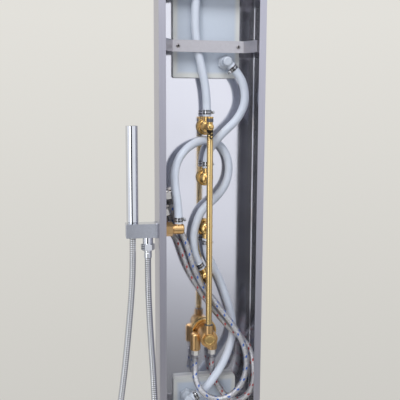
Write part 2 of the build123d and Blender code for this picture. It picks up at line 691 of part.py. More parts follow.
with BuildPart() as mixer_lock_ring:
    grip = LOCK_RING_HEIGHT - LOCK_RING_GRIP
    turn(along((0, LOCK_RING_BACK, MIXER_Z), (0, 1, 0)),
         [(MIXER_NECK / 2 + FIT_GAP, grip), (LOCK_RING_BORE / 2, grip), (LOCK_RING_BORE / 2, 0),
          (LOCK_RING / 2 - 1, 0), (LOCK_RING / 2, 1), (LOCK_RING / 2, LOCK_RING_HEIGHT),
          (MIXER_NECK / 2 + FIT_GAP, LOCK_RING_HEIGHT)])
save(mixer_lock_ring, "mixer_lock_ring")

with BuildPart() as mixer_escutcheon:
    turn(along((0, PANEL_DEPTH, MIXER_Z), (0, 1, 0)),
         [(MIXER_NECK / 2 + PANEL_HOLE_GAP, 0), (ESCUTCHEON / 2, 0), (ESCUTCHEON / 2, 1),
          (ESCUTCHEON / 2 - 1, ESCUTCHEON_HEIGHT), (MIXER_NECK / 2 + PANEL_HOLE_GAP, ESCUTCHEON_HEIGHT)])
save(mixer_escutcheon, "mixer_escutcheon")

with BuildPart() as mixer_front_nut:
    turn(along((0, PANEL_DEPTH + ESCUTCHEON_HEIGHT, MIXER_Z), (0, 1, 0)),
         [(MIXER_NECK / 2 + FIT_GAP, 0), (FRONT_NUT / 2, 0), (FRONT_NUT / 2, FRONT_NUT_HEIGHT),
          (MIXER_NECK / 2 + FIT_GAP, FRONT_NUT_HEIGHT)])
save(mixer_front_nut, "mixer_front_nut")

with BuildPart() as temperature_cartridge:
    core = MIXER_BORE / 2
    nose = core - 3
    stem_hole = MIXER_STEM / 2 + RUNNING_GAP
    turn(axis, [(0, MIXER_BORE_BACK), (nose, MIXER_BORE_BACK), (core, MIXER_BORE_BACK + 3),
                (core, MIXER_NECK_END), (stem_hole, MIXER_NECK_END),
                (stem_hole, MIXER_STEM_BACK - RUNNING_GAP), (0, MIXER_STEM_BACK - RUNNING_GAP)])
save(temperature_cartridge, "temperature_cartridge")

# The temperature knob, with grip flutes and a well for the stop button on its upper side
with BuildPart() as temperature_knob:
    outer = MIXER_KNOB / 2
    skirt = outer - MIXER_KNOB_WALL
    stem = MIXER_STEM / 2
    knob_back = PANEL_DEPTH + ESCUTCHEON_HEIGHT + KNOB_SKIRT_GAP
    hub = knob_back + MIXER_KNOB_SKIRT
    turn(axis, [(0, MIXER_STEM_BACK), (stem, MIXER_STEM_BACK), (stem, hub), (skirt, hub), (skirt, knob_back),
                (outer, knob_back), (outer, MIXER_KNOB_FRONT - KNOB_EDGE),
                (outer - KNOB_EDGE, MIXER_KNOB_FRONT), (0, MIXER_KNOB_FRONT)])
    with BuildSketch(Plane((0, MIXER_KNOB_FRONT, MIXER_Z), x_dir=(-1, 0, 0), z_dir=(0, 1, 0))):
        with PolarLocations(outer + FLUTE_RADIUS - FLUTE_SINK, MIXER_KNOB_FLUTES,
                            start_angle=90 + 180 / MIXER_KNOB_FLUTES):
            Circle(FLUTE_RADIUS)
    extrude(amount=hub - MIXER_KNOB_FRONT, mode=Mode.SUBTRACT)
    well_floor = MIXER_Z + outer - BUTTON_DEPTH - BUTTON_TRAVEL_GAP
    rod((0, BUTTON_Y, well_floor), (0, 0, 1), BUTTON_DIAMETER + 2 * RUNNING_GAP, MIXER_KNOB, Mode.SUBTRACT)
save(temperature_knob, "temperature_knob")

with BuildPart() as knob_button:
    rod((0, BUTTON_Y, MIXER_Z + outer - BUTTON_DEPTH), (0, 0, 1), BUTTON_DIAMETER,
        BUTTON_DEPTH + BUTTON_PROUD)
    fillet(knob_button.faces().sort_by(Axis.Z)[-1].edges(), BUTTON_EDGE)
save(knob_button, "knob_button")

# The handset outlet: a brass elbow inside, screwed through the tray's side into the holder block
thread_end = BLOCK_X - THREAD_IN_BLOCK
with BuildPart() as outlet_elbow:
    rod((thread_end, HOLDER_Y, HOLDER_Z), (1, 0, 0), THREAD_DIAMETER, OUTLET_HEX_X[0] - thread_end)
    hex_bar((OUTLET_HEX_X[0], HOLDER_Y, HOLDER_Z), (1, 0, 0), OUTLET_HEX_FLATS, OUTLET_HEX_LENGTH)
    rod((OUTLET_HEX_X[1], HOLDER_Y, HOLDER_Z), (1, 0, 0), OUTLET_BODY, OUTLET_BODY_LENGTH)
    chamfer(outlet_elbow.faces().sort_by(Axis.X)[-1].edges(), 2)
    barb((OUTLET_BARB_X, HOLDER_Y, HOLDER_Z), (0, 0, 1), OUTLET_SHOULDER)
save(outlet_elbow, "outlet_elbow")

# Overhead outlet: a brass elbow whose threaded spigot takes a shower arm
with BuildPart() as overhead_elbow:
    body = OVERHEAD_BODY / 2
    collar_front = FLOOR
    collar_back = collar_front - OVERHEAD_COLLAR_HEIGHT
    body_back = OVERHEAD_BARB_Y - body
    spigot_end = PANEL_DEPTH + OVERHEAD_SPIGOT
    nut_front = PANEL_DEPTH + LOCK_NUT_HEIGHT
    thread = THREAD_DIAMETER / 2
    turn(along((0, 0, OVERHEAD_Z), (0, 1, 0)),
         [(0, body_back), (body - 2, body_back), (body, body_back + 2), (body, collar_back),
          (OVERHEAD_COLLAR / 2, collar_back), (OVERHEAD_COLLAR / 2, collar_front), (thread, collar_front),
          (thread, nut_front), (thread - UNDERCUT, nut_front), (thread - UNDERCUT, nut_front + UNDERCUT),
          (thread, nut_front + UNDERCUT), (thread, spigot_end - 1), (thread - 1, spigot_end),
          (thread - 3, spigot_end),
          (thread - 3, spigot_end - OVERHEAD_SPIGOT), (0, spigot_end - OVERHEAD_SPIGOT)])
    barb((0, OVERHEAD_BARB_Y, OVERHEAD_Z), (0, 0, -1), OVERHEAD_SHOULDER)
save(overhead_elbow, "overhead_elbow")

with BuildPart() as lock_nuts:
    at_outlet = ((-SIDE, HOLDER_Y, HOLDER_Z), (1, 0, 0))
    at_overhead = ((0, PANEL_DEPTH, OVERHEAD_Z), (0, 1, 0))
    for place, direction in (at_outlet, at_overhead):
        hex_bar(place, direction, LOCK_NUT_FLATS, LOCK_NUT_HEIGHT)
        rod(place, direction, THREAD_DIAMETER + 2 * FIT_GAP, LOCK_NUT_HEIGHT, Mode.SUBTRACT)
save(lock_nuts, "lock_nuts")

with BuildPart() as holder_flange:
    with BuildSketch(across((OUTSIDE, HOLDER_Y, HOLDER_Z), (-1, 0, 0))):
        RectangleRounded(FLANGE_SIZE, FLANGE_SIZE, 1)
        Circle(THREAD_DIAMETER / 2 + FIT_GAP, mode=Mode.SUBTRACT)
    extrude(amount=FLANGE_THICKNESS)
save(holder_flange, "holder_flange")

# The holder block: a square bar with the handset's tapered seat, slotted to the room for the hose
seat = CONE_GAP * 2
with BuildPart() as holder_block:
    with BuildSketch(across((BLOCK_X, HOLDER_Y, HOLDER_Z), (-1, 0, 0))):
        Rectangle(HOLDER_SIZE, HOLDER_SIZE)
    extrude(amount=BLOCK_X - HOLDER_END_X)
    chamfer(holder_block.faces().sort_by(Axis.X)[0].edges(), HOLDER_EDGE)
    cone_slope = (CONE_TOP - CONE_BOTTOM) / 2 / CONE_LENGTH
    seat_top = (CONE_TOP + seat) / 2 - CONE_NECK * cone_slope
    seat_bottom = seat_top - HOLDER_SIZE * cone_slope
    turn(along((HANDSET_X, HOLDER_Y, BLOCK_BOTTOM), (0, 0, 1)),
         [(0, 0), (seat_bottom, 0), (seat_top, HOLDER_SIZE), (0, HOLDER_SIZE)], Mode.SUBTRACT)
    with BuildSketch(Plane.XY.offset(BLOCK_BOTTOM)):
        with Locations((HANDSET_X, HOLDER_Y + HOLDER_SIZE / 4)):
            Rectangle(HOSE_SLOT, HOLDER_SIZE / 2)
    extrude(amount=HOLDER_SIZE, mode=Mode.SUBTRACT)
    rod((BLOCK_X, HOLDER_Y, HOLDER_Z), (-1, 0, 0), THREAD_DIAMETER + 2 * FIT_GAP, THREAD_IN_BLOCK + FIT_GAP,
        Mode.SUBTRACT)
    rod((OUTLET_X, HOLDER_Y, BLOCK_BOTTOM), (0, 0, 1), NIPPLE_THREAD + 2 * FIT_GAP, NIPPLE_IN_BLOCK + FIT_GAP,
        Mode.SUBTRACT)
save(holder_block, "holder_block")

with BuildPart() as outlet_nipple:
    rod((OUTLET_X, HOLDER_Y, BLOCK_BOTTOM), (0, 0, -1), NIPPLE_DIAMETER, NIPPLE_LENGTH)
    rod((OUTLET_X, HOLDER_Y, BLOCK_BOTTOM), (0, 0, 1), NIPPLE_THREAD, NIPPLE_IN_BLOCK)
save(outlet_nipple, "outlet_nipple")

with BuildPart() as hose_nut:
    hex_bar((OUTLET_X, HOLDER_Y, NUT_TOP), (0, 0, -1), HOSE_NUT_FLATS, HOSE_NUT_LENGTH)
    for face in (hose_nut.faces().sort_by(Axis.Z)[0], hose_nut.faces().sort_by(Axis.Z)[-1]):
        chamfer(face.edges(), 0.8)
save(hose_nut, "hose_nut")

with BuildPart() as hose_ferrule:
    rod((OUTLET_X, HOLDER_Y, NUT_BOTTOM), (0, 0, -1), FERRULE_NARROW, FERRULE_NARROW_LENGTH)
save(hose_ferrule, "hose_ferrule")

# The handset: handle and head in line, a spray strip on its room side and the hose's cone below
handset_bottom = BLOCK_TOP + CONE_NECK
with BuildPart() as handset_cone:
    turn(along((HANDSET_X, HOLDER_Y, CONE_END), (0, 0, 1)),
         [(0, 0), (CONE_BOTTOM / 2, 0), (CONE_TOP / 2, CONE_LENGTH), (0, CONE_LENGTH)])
save(handset_cone, "handset_cone")

with BuildPart() as handset_handle:
    radius = HANDSET_DIAMETER / 2
    handle_top = HANDSET_SEAM - HANDSET_GROOVE
    turn(along((HANDSET_X, HOLDER_Y, 0), (0, 0, 1)),
         [(0, handset_bottom), (radius - HANDSET_EDGE, handset_bottom),
          (radius, handset_bottom + HANDSET_EDGE), (radius, handle_top),
          (radius - HANDSET_EDGE, handle_top), (radius - HANDSET_EDGE, HANDSET_SEAM),
          (0, HANDSET_SEAM)])
save(handset_handle, "handset_handle")

strip_middle = (HANDSET_TOP + HANDSET_SEAM) / 2
strip = Plane((HANDSET_X, HOLDER_Y + HANDSET_DIAMETER / 2, strip_middle), x_dir=(-1, 0, 0), z_dir=(0, 1, 0))
with BuildPart() as handset_head:
    turn(along((HANDSET_X, HOLDER_Y, 0), (0, 0, 1)),
         [(0, HANDSET_SEAM), (radius, HANDSET_SEAM), (radius, HANDSET_TOP - HANDSET_EDGE),
          (radius - HANDSET_EDGE, HANDSET_TOP), (0, HANDSET_TOP)])
    with BuildSketch(strip):
        SlotOverall(SPRAY_FACE_LENGTH + 2 * FIT_GAP, SPRAY_FACE_WIDTH + 2 * FIT_GAP, rotation=90)
    extrude(amount=-2 * SPRAY_FACE_DEPTH, mode=Mode.SUBTRACT)
save(handset_head, "handset_head")

with BuildPart() as handset_spray_face:
    with BuildSketch(strip.offset(-2 * SPRAY_FACE_DEPTH)):
        SlotOverall(SPRAY_FACE_LENGTH, SPRAY_FACE_WIDTH, rotation=90)
    extrude(amount=2 * SPRAY_FACE_DEPTH - SPRAY_FACE_PROUD)
save(handset_spray_face, "handset_spray_face")

# Hose routes. The first and last runs lie on the axes of the fittings that they meet
overhead_start = (0, OVERHEAD_BARB_Y, OVERHEAD_Z - OVERHEAD_SHOULDER)
valve_ends = []
for index, angle in enumerate(VALVE_BARB_ANGLES):
    end = Vector(0, VALVE_BARB_Y, VALVE_Z[index]) + polar(angle) * VALVE_SHOULDER
    valve_ends.append(end)
jet_ends = {}
for side, (x, z, angle) in JET_ELBOWS.items():
    jet_ends[side] = Vector(x, JET_BARB_Y, z) + polar(angle) * ELBOW_SHOULDER

OVERHEAD_ROUTE = [overhead_start, (0, 55, -34), (-9, 55, -82), (-21, 55, -140), (-25, 55, -198),
                  (-21, 55, -248), (-9, 55.5, -296), (0, 57, -340), valve_ends[0]]
UPPER_JET_ROUTE = [jet_ends["upper"], jet_ends["upper"] + polar(-45) * BARB_RUN, (71, 44, -324),
                   (73, 45, -356), (58, 46, -386), (30, 48.5, -412), (8, 52.5, -437), (0, 57, -459),
                   valve_ends[1]]
HANDSET_ROUTE = [(OUTLET_BARB_X, HOLDER_Y, HOLDER_Z + OUTLET_SHOULDER), (-59.5, 30.5, -553), (-66, 33, -515),
                 (-66, 39, -478), (-48, 50, -446), (-12, 67, -425), (26, 69.8, -430), (47, 67, -462),
                 (46, 64, -504), (24, 62, -538), (-10, 60, -563), (-25, 59, -604), (-25, 57.5, -641),
                 valve_ends[3] + polar(117) * BARB_RUN, valve_ends[3]]
LOWER_JET_ROUTE = [valve_ends[2], (0, 57, -648), (15, 60, -679), (31, 62.5, -711), (44, 63, -747),
                   (55, 63, -783), (58, 59, -818), (48, 51, -851), (30, 43, -884), (10, 41, -911),
                   jet_ends["lower"] + polar(25) * LOWER_JET_RUN, jet_ends["lower"]]
COLD_ROUTE = [(INLET_X["cold"], INLET_Y, TAIL_END), (-22, 52, -884), (-24.5, 39, -906), (-13, 25, -929),
              (12, 22, -944), (40, 21.5, -941), (64, 21, -922), (77, 20, -890), (77.5, 21, -854),
              (67, 26, -820), (46, 33, -787), (19, 39, -753), (-8, 41, -716), (-26, 41, -681),
              (-36, 43, -646), (-46, 47.5, -615), (-58, 50, -592)]
HOT_ROUTE = [(INLET_X["hot"], INLET_Y, TAIL_END), (12.5, 52, -882), (14, 58, -903), (26, 57.5, -930),
             (40, 52, -951), (57, 37, -957), (73, 26, -948), (86, 18, -929), (91.5, 13.5, -905),
             (91, 14, -876), (89, 28, -851), (76, 40, -829), (50, 44, -807), (24, 47.5, -777),
             (0, 49.5, -745),
             (-20, 49.5, -714), (-37, 48.5, -682), (-48, 50, -650), (-57, 55, -623)]
INLET_LAST_RUN = 21
SHOWER_ROUTE = [(HANDSET_X, HOLDER_Y, CONE_END), (-147.7, 30.5, -655), (-150.5, 30, -715), (-156.5, 29, -780),
                (-163, 28, -845), (-171, 27, -910), (-181, 26, -975), (-191.5, 25, -1040), (-203, 24, -1105),
                (-211, 23.5, -1170), (-214.5, 22.5, -1235), (-214, 22, -1297), (-199.8, 20.5, -1321.8),
                (-175.2, 19, -1336), (-146.8, 17.5, -1336), (-122.2, 16, -1321.8), (-108, 14, -1297),
                (-107.5, 12.5, -1240), (-108, 11.5, -1180), (-108, 10.5, -1117), (-107.8, 10, -1052),
                (-108.5, 10.5, -985), (-110, 14, -920), (-112.5, 20.5, -855), (-116, 26, -790),
                (-118.5, 30, -725), (-119, 30.5, -684), (OUTLET_X, HOLDER_Y, FERRULE_END)]

save(hose(OVERHEAD_ROUTE, HOSE_DIAMETER, bored=True), "overhead_hose")
save(hose(UPPER_JET_ROUTE, HOSE_DIAMETER, bored=True), "upper_jet_hose")
save(hose(HANDSET_ROUTE, HOSE_DIAMETER, bored=True), "handset_feed_hose")
save(hose(LOWER_JET_ROUTE, HOSE_DIAMETER, bored=True), "lower_jet_hose")
save(hose(SHOWER_ROUTE, SHOWER_HOSE_DIAMETER), "shower_hose")

for name, route in (("cold", COLD_ROUTE), ("hot", HOT_ROUTE)):
    middle, lean = INLET_NUTS[name]
    lean = Vector(lean).normalized()
    nut_back = Vector(middle) - lean * (INLET_NUT_LENGTH / 2)
    hose_end = nut_back - lean * (FERRULE_LENGTH - INLET_NUT_WALL)
    save(hose(route + [hose_end - lean * INLET_LAST_RUN, hose_end], BRAID_DIAMETER), f"{name}_inlet_hose")
    with BuildPart() as inlet_nut:
        hex_bar(nut_back, lean, INLET_NUT_FLATS, INLET_NUT_LENGTH)
        rod(nut_back + lean * INLET_NUT_WALL, lean, INLET_THREAD, INLET_NUT_LENGTH, Mode.SUBTRACT)
        rod(nut_back + lean * INLET_NUT_WALL, lean, INLET_SEAT, INLET_SEAT_DEPTH, Mode.SUBTRACT)
        rod(nut_back, lean, FERRULE_DIAMETER + 2 * FIT_GAP, INLET_NUT_LENGTH, Mode.SUBTRACT)
    save(inlet_nut, f"{name}_inlet_nut")

with BuildPart() as inlet_ferrules:
    for middle, lean in INLET_NUTS.values():
        lean = Vector(lean).normalized()
        nut_back = Vector(middle) - lean * (INLET_NUT_LENGTH / 2)
        hose_end = nut_back - lean * (FERRULE_LENGTH - INLET_NUT_WALL)
        rod(hose_end, lean, FERRULE_DIAMETER, FERRULE_LENGTH)
        rod(hose_end + lean * FERRULE_LENGTH, lean, INLET_FLANGE, INLET_FLANGE_HEIGHT)
save(inlet_ferrules, "inlet_ferrules")

with BuildPart() as inlet_tails:
    for x in INLET_X.values():
        hex_bar((x, INLET_Y, INLET_END), (0, 0, -1), TAIL_FLATS, TAIL_NUT_HEIGHT)
        rod((x, INLET_Y, INLET_END - TAIL_NUT_HEIGHT), (0, 0, -1), TAIL_SLEEVE, TAIL_SLEEVE_LENGTH)
save(inlet_tails, "inlet_tails")


def hose_clamp(end, direction, screw_side):
    """Adds a worm-drive clamp: a band round the hose and a screw housing on one side of it."""
    middle = Vector(end) + Vector(direction) * CLAMP_OFFSET
    inner = HOSE_DIAMETER / 2 + CLAMP_FIT
    outer = inner + CLAMP_BAND
    half = CLAMP_WIDTH / 2
    turn(along(middle, direction), [(inner, -half), (outer, -half), (outer, half), (inner, half)])
    sideways = Vector(screw_side)
    lengthways = Vector(direction).cross(sideways)
    screw = middle + sideways * (outer + CLAMP_SCREW_DIAMETER / 2 - CLAMP_BAND)
    rod(screw - lengthways * (CLAMP_SCREW_LENGTH / 2), lengthways, CLAMP_SCREW_DIAMETER, CLAMP_SCREW_LENGTH)
    rod(middle, direction, 2 * inner, half, Mode.SUBTRACT)
    rod(middle, -Vector(direction), 2 * inner, half, Mode.SUBTRACT)


with BuildPart() as hose_clamps:
    hose_clamp(overhead_start, Vector(0, 0, -1), (1, 0, 0))
    for index, angle in enumerate(VALVE_BARB_ANGLES):
        hose_clamp(valve_ends[index], polar(angle), polar(angle + 90 if index == 3 else 0))
    hose_clamp((OUTLET_BARB_X, HOLDER_Y, HOLDER_Z + OUTLET_SHOULDER), Vector(0, 0, 1), (1, 0, 0))
    for side, (x, z, angle) in JET_ELBOWS.items():
        hose_clamp(jet_ends[side], polar(angle), polar(angle - 90))
save(hose_clamps, "hose_clamps")
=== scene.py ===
"""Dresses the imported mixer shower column: hoses, brass, chrome and steel finishes, studio and camera.

Sizes below are millimetres in the part's own frame: X across the width, Y from the wall into the
room, Z up. Each piece's mesh is written in metres, with its object left at the origin.
"""
import math

import bmesh
import bpy
import numpy as np
from bpy.props import FloatProperty, PointerProperty, StringProperty
from mathutils import Matrix


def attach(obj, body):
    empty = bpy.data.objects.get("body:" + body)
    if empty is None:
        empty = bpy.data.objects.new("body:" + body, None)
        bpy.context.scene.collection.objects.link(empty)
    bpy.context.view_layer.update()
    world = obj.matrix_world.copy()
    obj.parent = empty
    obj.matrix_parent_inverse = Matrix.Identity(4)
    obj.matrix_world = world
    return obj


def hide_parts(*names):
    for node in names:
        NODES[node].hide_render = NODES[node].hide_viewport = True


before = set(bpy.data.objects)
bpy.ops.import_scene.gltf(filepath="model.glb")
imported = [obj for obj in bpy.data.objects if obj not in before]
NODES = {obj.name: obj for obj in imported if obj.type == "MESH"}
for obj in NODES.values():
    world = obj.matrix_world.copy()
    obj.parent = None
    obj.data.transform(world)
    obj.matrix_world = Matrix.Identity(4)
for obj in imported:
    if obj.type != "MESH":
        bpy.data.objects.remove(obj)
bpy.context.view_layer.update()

COLUMN = "column"
MM = 0.001
TURN = 2 * math.pi
CREASE = 32
ACROSS, OUTWARD, UP, DOWN = (1, 0, 0), (0, 1, 0), (0, 0, 1), (0, 0, -1)

bl_info = {
    "name": "Mixer shower column",
    "version": (1, 0, 0),
    "blender": (4, 5, 0),
    "location": "View3D > Sidebar > Shower column",
    "description": "Dresses a packed shower column with hoses, brass, chrome and steel",
    "category": "Object",
}

# Places that the part's source also uses
VALVE_Z = (-400, -500, -600, -700)
VALVE_ANGLES = (90, 90, -90, 117)
VALVE_BARB_Y = 57
VALVE_SHOULDER = 20
RISER_Y = 25
RISER_PLUG_Z = -394
MIXER_Z = -816
SOCKET_HEIGHT = 28
BRIDGE_DROP = 7.5
INLET_X = {"cold": -22, "hot": 12.5}
INLET_Y = 52
INLET_END = -848
INLET_HEIGHTS = {"cold": 36, "hot": 30}
TAIL_END = -866
JET_BARB_Y = 43
JET_SHOULDER = 9.5
JET_ELBOWS = {"upper": (36, -276.5, -45), "lower": (-38, -948, 25)}
JET_CENTRES = {"upper": -195, "lower": -1024}
STRAP_BACK = 44
STRAP_SCREW_X = 58
STRAP_OFFSETS = (46, -54)
TRAY_HALF = 100
TRAY_DEPTH = 80
HALF_SHEET = 0.6
THREAD_RADIUS = 10.45
HOLDER_Y = 30.5
HOLDER_Z = -595
HANDSET_X = -147.7
OUTLET_X = -119
OUTLET_SHOULDER = 10.5
OUTLET_BARB = (-59.5, HOLDER_Y, HOLDER_Z + OUTLET_SHOULDER)
OUTLET_THREAD = (-110, -90)
OVERHEAD_Z = 25
OVERHEAD_SHOULDER = 17
OVERHEAD_START = (0, 55, OVERHEAD_Z - OVERHEAD_SHOULDER)
OVERHEAD_THREAD = (87.3, 97.2)
SIDE_NUT_X = -98.8
FRONT_NUT_Y = 80
INLET_NUTS = {
    "cold": ((-76, 52, -531), (-0.29, 0, 0.957)),
    "hot": ((-82, 62.5, -566), (-0.25, 0, 0.968)),
}
INLET_NUT_BORE = 18.6
INLET_NUT_FLOOR = 5.6
INLET_NUT_WALL = 3
CRIMP_LENGTH = 15
LAST_RUN = 21
HOSE_NUT_TOP = -620.8
SPRAY_FACE_Y = 42.7
SPRAY_MIDDLE_Z = -426.25

# Hexagons as width across flats and length
ELBOW_NUT = (26, 7)
INLET_NUT = (24, 14)
TAIL_NUT = (14, 10.5)
HOSE_NUT = (23, 13)
OUTLET_HEX = (24, 19)
LOCK_NUT = (27, 6)
CLAMP_HEX = (5.6, 2.6)

# Turned outlines as (radius, height) along each piece's own axis
TOP_STUB = [(0, 17), (3.6, 17.4), (5.8, 18.8), (7, 21.5), (7, 46)]
BRANCH_STUB = [(0, 25), (5.7, 25), (5.7, 46.2)]
VALVE_TURNING = [
    (9, 47.4), (11.2, 49.2), (12, 52), (12, 69.9), (12.9, 70.8), (16.5, 70.8), (16.5, 76.8),
    (11, 76.8), (11, 87), (7.05, 87), (7.05, 57.95), (0, 57.95)]
MIXER_TURNING = [
    (0, 26), (11.55, 26), (11.55, 20), (13.6, 20), (14, 20.5), (14.6, 20.5), (15, 20), (17.25, 20),
    (17.25, 24), (15.8, 25.2), (17, 26.4), (17, 71.8), (18.5, 71.8), (18.5, 89), (13.55, 89),
    (13.55, 42), (0, 42)]
CAP_TURNING = [
    (0, 14.5), (7.6, 14.5), (7.9, 14.8), (8.4, 14.8), (8.7, 14.5), (11.5, 14.5), (11.5, 25.9), (0, 25.9)]
LOCK_RING_TURNING = [
    (18.55, 73.8), (21, 73.8), (21, 68.8), (25, 68.8), (25, 76.8), (18.55, 76.8), (18.55, 73.8)]
SOCKET_TURNING = [(0, 0), (9.25, 0), (9.25, SOCKET_HEIGHT), (6.05, SOCKET_HEIGHT), (6.05, 19), (0, 19)]
BRIDGE_TURNING = [(0, 0), (7.5, 0), (7.5, 22), (0, 22)]
INLET_FOOT = [(0, 0), (9.6, 0), (10.5, 1)]
INLET_CROWN = [(10.5, -4), (9.4, -1.6), (6.5, 0), (0, 0)]
ELBOW_BACK = 57.8
ELBOW_TURNING = [
    (0, 34), (6.2, 34), (8.2, 34.8), (9, 36.8), (9, 50.4), (10.4, 51), (10.4, 53.6), (11.6, 54.2),
    (11.6, ELBOW_BACK), (8, ELBOW_BACK), (8, 67.3), (0, 67.3)]
FERRULE_TURNING = [(0, 0), (7.75, 0), (7.75, 3.6), (7.2, 4.2), (7.2, 5), (7.75, 5.6), (7.75, 15), (0, 15)]
TAIL_TURNING = [
    (0, 9), (4.2, 9), (4.2, 17), (5.6, 17.4), (6.35, 18), (6.35, 20.4), (6, 21), (6.35, 21.6),
    (6.35, 24.4), (6.05, 25), (0, 25)]
CRIMP_TURNING = [
    (0, 0), (6.1, 0), (6.5, 0.6), (6.5, 2.4), (6.2, 3), (6.5, 3.6), (6.5, 8), (6.2, 8.6), (6.5, 9.2),
    (6.5, 15), (9, 15), (9, 17.5), (5, 17.5), (5, 14), (0, 14)]
OUTLET_TURNING = [(0, -71), (9.4, -71), (9.4, -69.8), (10, -69), (10, -51), (8, -49), (0, -49)]
OVERHEAD_BACK = [
    (0, 44), (9, 44), (11, 46), (11, 72.8), (15, 72.8), (15, 78.8), (THREAD_RADIUS, 78.8),
    (THREAD_RADIUS, 86), (9.25, 86), (9.25, 87.2)]
OVERHEAD_FRONT = [(9.45, 98), (7.45, 98), (7.45, 80), (0, 80)]
SOLDER_FILLET = [(5.9, 2.4), (6.4, 1.2), (7.4, 0.5), (8.9, 0.2), (8.9, -0.3), (5.9, -0.3), (5.9, 2.4)]
RISER_PLUG = [(0, 0), (5.4, 0), (5.4, 10), (6.4, 10), (6.4, 13.4), (0, 13.4)]
PLUG_SOLDER = [(5.3, 3), (6.1, 3.4), (6.4, 6), (6.2, 9.6), (5.3, 9.9), (5.3, 3)]
SCREW_SHANK = [(0, 0.2), (2, 0.2), (2, 20.8), (0, 20.8)]
NOZZLE_TURNING = [(0, 0), (0.9, 0), (0.7, 0.9), (0, 1.1)]
NOZZLE_SPACING = 4.2
CLAMP_HALF = [(8.85, 1), (8.85, 1.1), (8.85, 3.6), (8.85, 3.7), (8.85, 4.2), (8.6, 4.5), (8.05, 4.5)]
CLAMP_BAND = [(r, -h) for r, h in reversed(CLAMP_HALF)] + CLAMP_HALF + [(8.05, -4.5)]
CLAMP_HOUSING = [(0, -4.4), (3.2, -4.4), (3.2, 4.4), (0, 4.4)]
CLAMP_OFFSET = 8
CLAMP_SCREW_RADIUS = 11.3
CLAMP_SCREW_REACH = 6
SLOT_COUNT = 16
SLOT_SHARE = 0.6
SLOT_HEIGHTS = (1.05, 3.65)
SLOT_DEPTH = 0.5

# Feed hose swellings beside a clamp: height, distance from the hose's end and width
CLAMP_SWELLS = ((0.28, 1.8, 1.1), (0.22, 14.2, 1.6))
FEED_SEGMENTS = 40
BRAID_SEGMENTS = 60
SPIRAL_SEGMENTS = 28
RIB_DEPTH = 0.85
RIB_INSET = 0.06

# Pan-head screws and their cross recess
SCREW_RADIUS = 4
SCREW_HEIGHT = 1.8
CROSS_WIDTH = 0.7
CROSS_REACH = 2.5
CROSS_DEPTH = 1.1

# Half a jet box's width and height, each with the inner and outer distance from the edge of its painted
# lighter border
JET_EDGES = ((64.5, 11, 5), (111, 12, 6))
FLUX_STAIN_Z = (-452, -414)


def polar(angle):
    """The unit vector at an angle in the X-Z plane, from +X towards +Z."""
    return np.array([math.cos(math.radians(angle)), 0.0, math.sin(math.radians(angle))])


def unit(vector):
    """The vector at length one."""
    vector = np.asarray(vector, float)
    return vector / np.linalg.norm(vector)


VALVE_ENDS = [
    np.array([0, VALVE_BARB_Y, z]) + polar(angle) * VALVE_SHOULDER for z, angle in zip(VALVE_Z, VALVE_ANGLES)]
JET_ENDS = {
    side: np.array([x, JET_BARB_Y, z]) + polar(angle) * JET_SHOULDER
    for side, (x, z, angle) in JET_ELBOWS.items()}

# Each hose's length in metres and the route of its middle line
WHITE_HOSES = {
    "overhead_hose": (0.392, [
        OVERHEAD_START, (0, 55, -34), (-9, 55, -82), (-21, 55, -140), (-25, 55, -198),
        (-21, 55, -248), (-9, 55.5, -296), (0, 57, -340), VALVE_ENDS[0]]),
    "upper_jet_hose": (0.230, [
        JET_ENDS["upper"], JET_ENDS["upper"] + polar(-45) * 24, (71, 44, -324), (73, 45, -356),
        (58, 46, -386), (30, 48.5, -412), (8, 52.5, -437), (0, 57, -459), VALVE_ENDS[1]]),
    "handset_feed_hose": (0.508, [
        OUTLET_BARB, (-59.5, 30.5, -553), (-66, 33, -515), (-66, 39, -478), (-48, 50, -446),
        (-12, 67, -425), (26, 69.8, -430), (47, 67, -462), (46, 64, -504), (24, 62, -538),
        (-10, 60, -563), (-25, 59, -604), (-25, 57.5, -641),
        VALVE_ENDS[3] + polar(117) * 24, VALVE_ENDS[3]]),
    "lower_jet_hose": (0.368, [
        VALVE_ENDS[2], (0, 57, -648), (15, 60, -679), (31, 62.5, -711), (44, 63, -747),
        (55, 63, -783), (58, 59, -818), (48, 51, -851), (30, 43, -884), (10, 41, -911),
        JET_ENDS["lower"] + polar(25) * 26, JET_ENDS["lower"]]),
}
BRAID_HOSES = {
    "cold": (0.571, [
        (-22, 52, TAIL_END), (-22, 52, -884), (-24.5, 39, -906), (-13, 25, -929), (12, 22, -944),
        (40, 21.5, -941), (64, 21, -922), (77, 20, -890), (77.5, 21, -854), (67, 26, -820),
        (46, 33, -787), (19, 39, -753), (-8, 41, -716), (-26, 41, -681), (-36, 43, -646),
        (-46, 47.5, -615), (-58, 50, -592)]),
    "hot": (0.563, [
        (12.5, 52, TAIL_END), (12.5, 52, -882), (14, 58, -903), (26, 57.5, -930), (40, 52, -951),
        (57, 37, -957), (73, 26, -948), (86, 18, -929), (91.5, 13.5, -905), (91, 14, -876),
        (89, 28, -851), (76, 40, -829), (50, 44, -807), (24, 47.5, -777), (0, 49.5, -745),
        (-20, 49.5, -714), (-37, 48.5, -682), (-48, 50, -650), (-57, 55, -623)]),
}
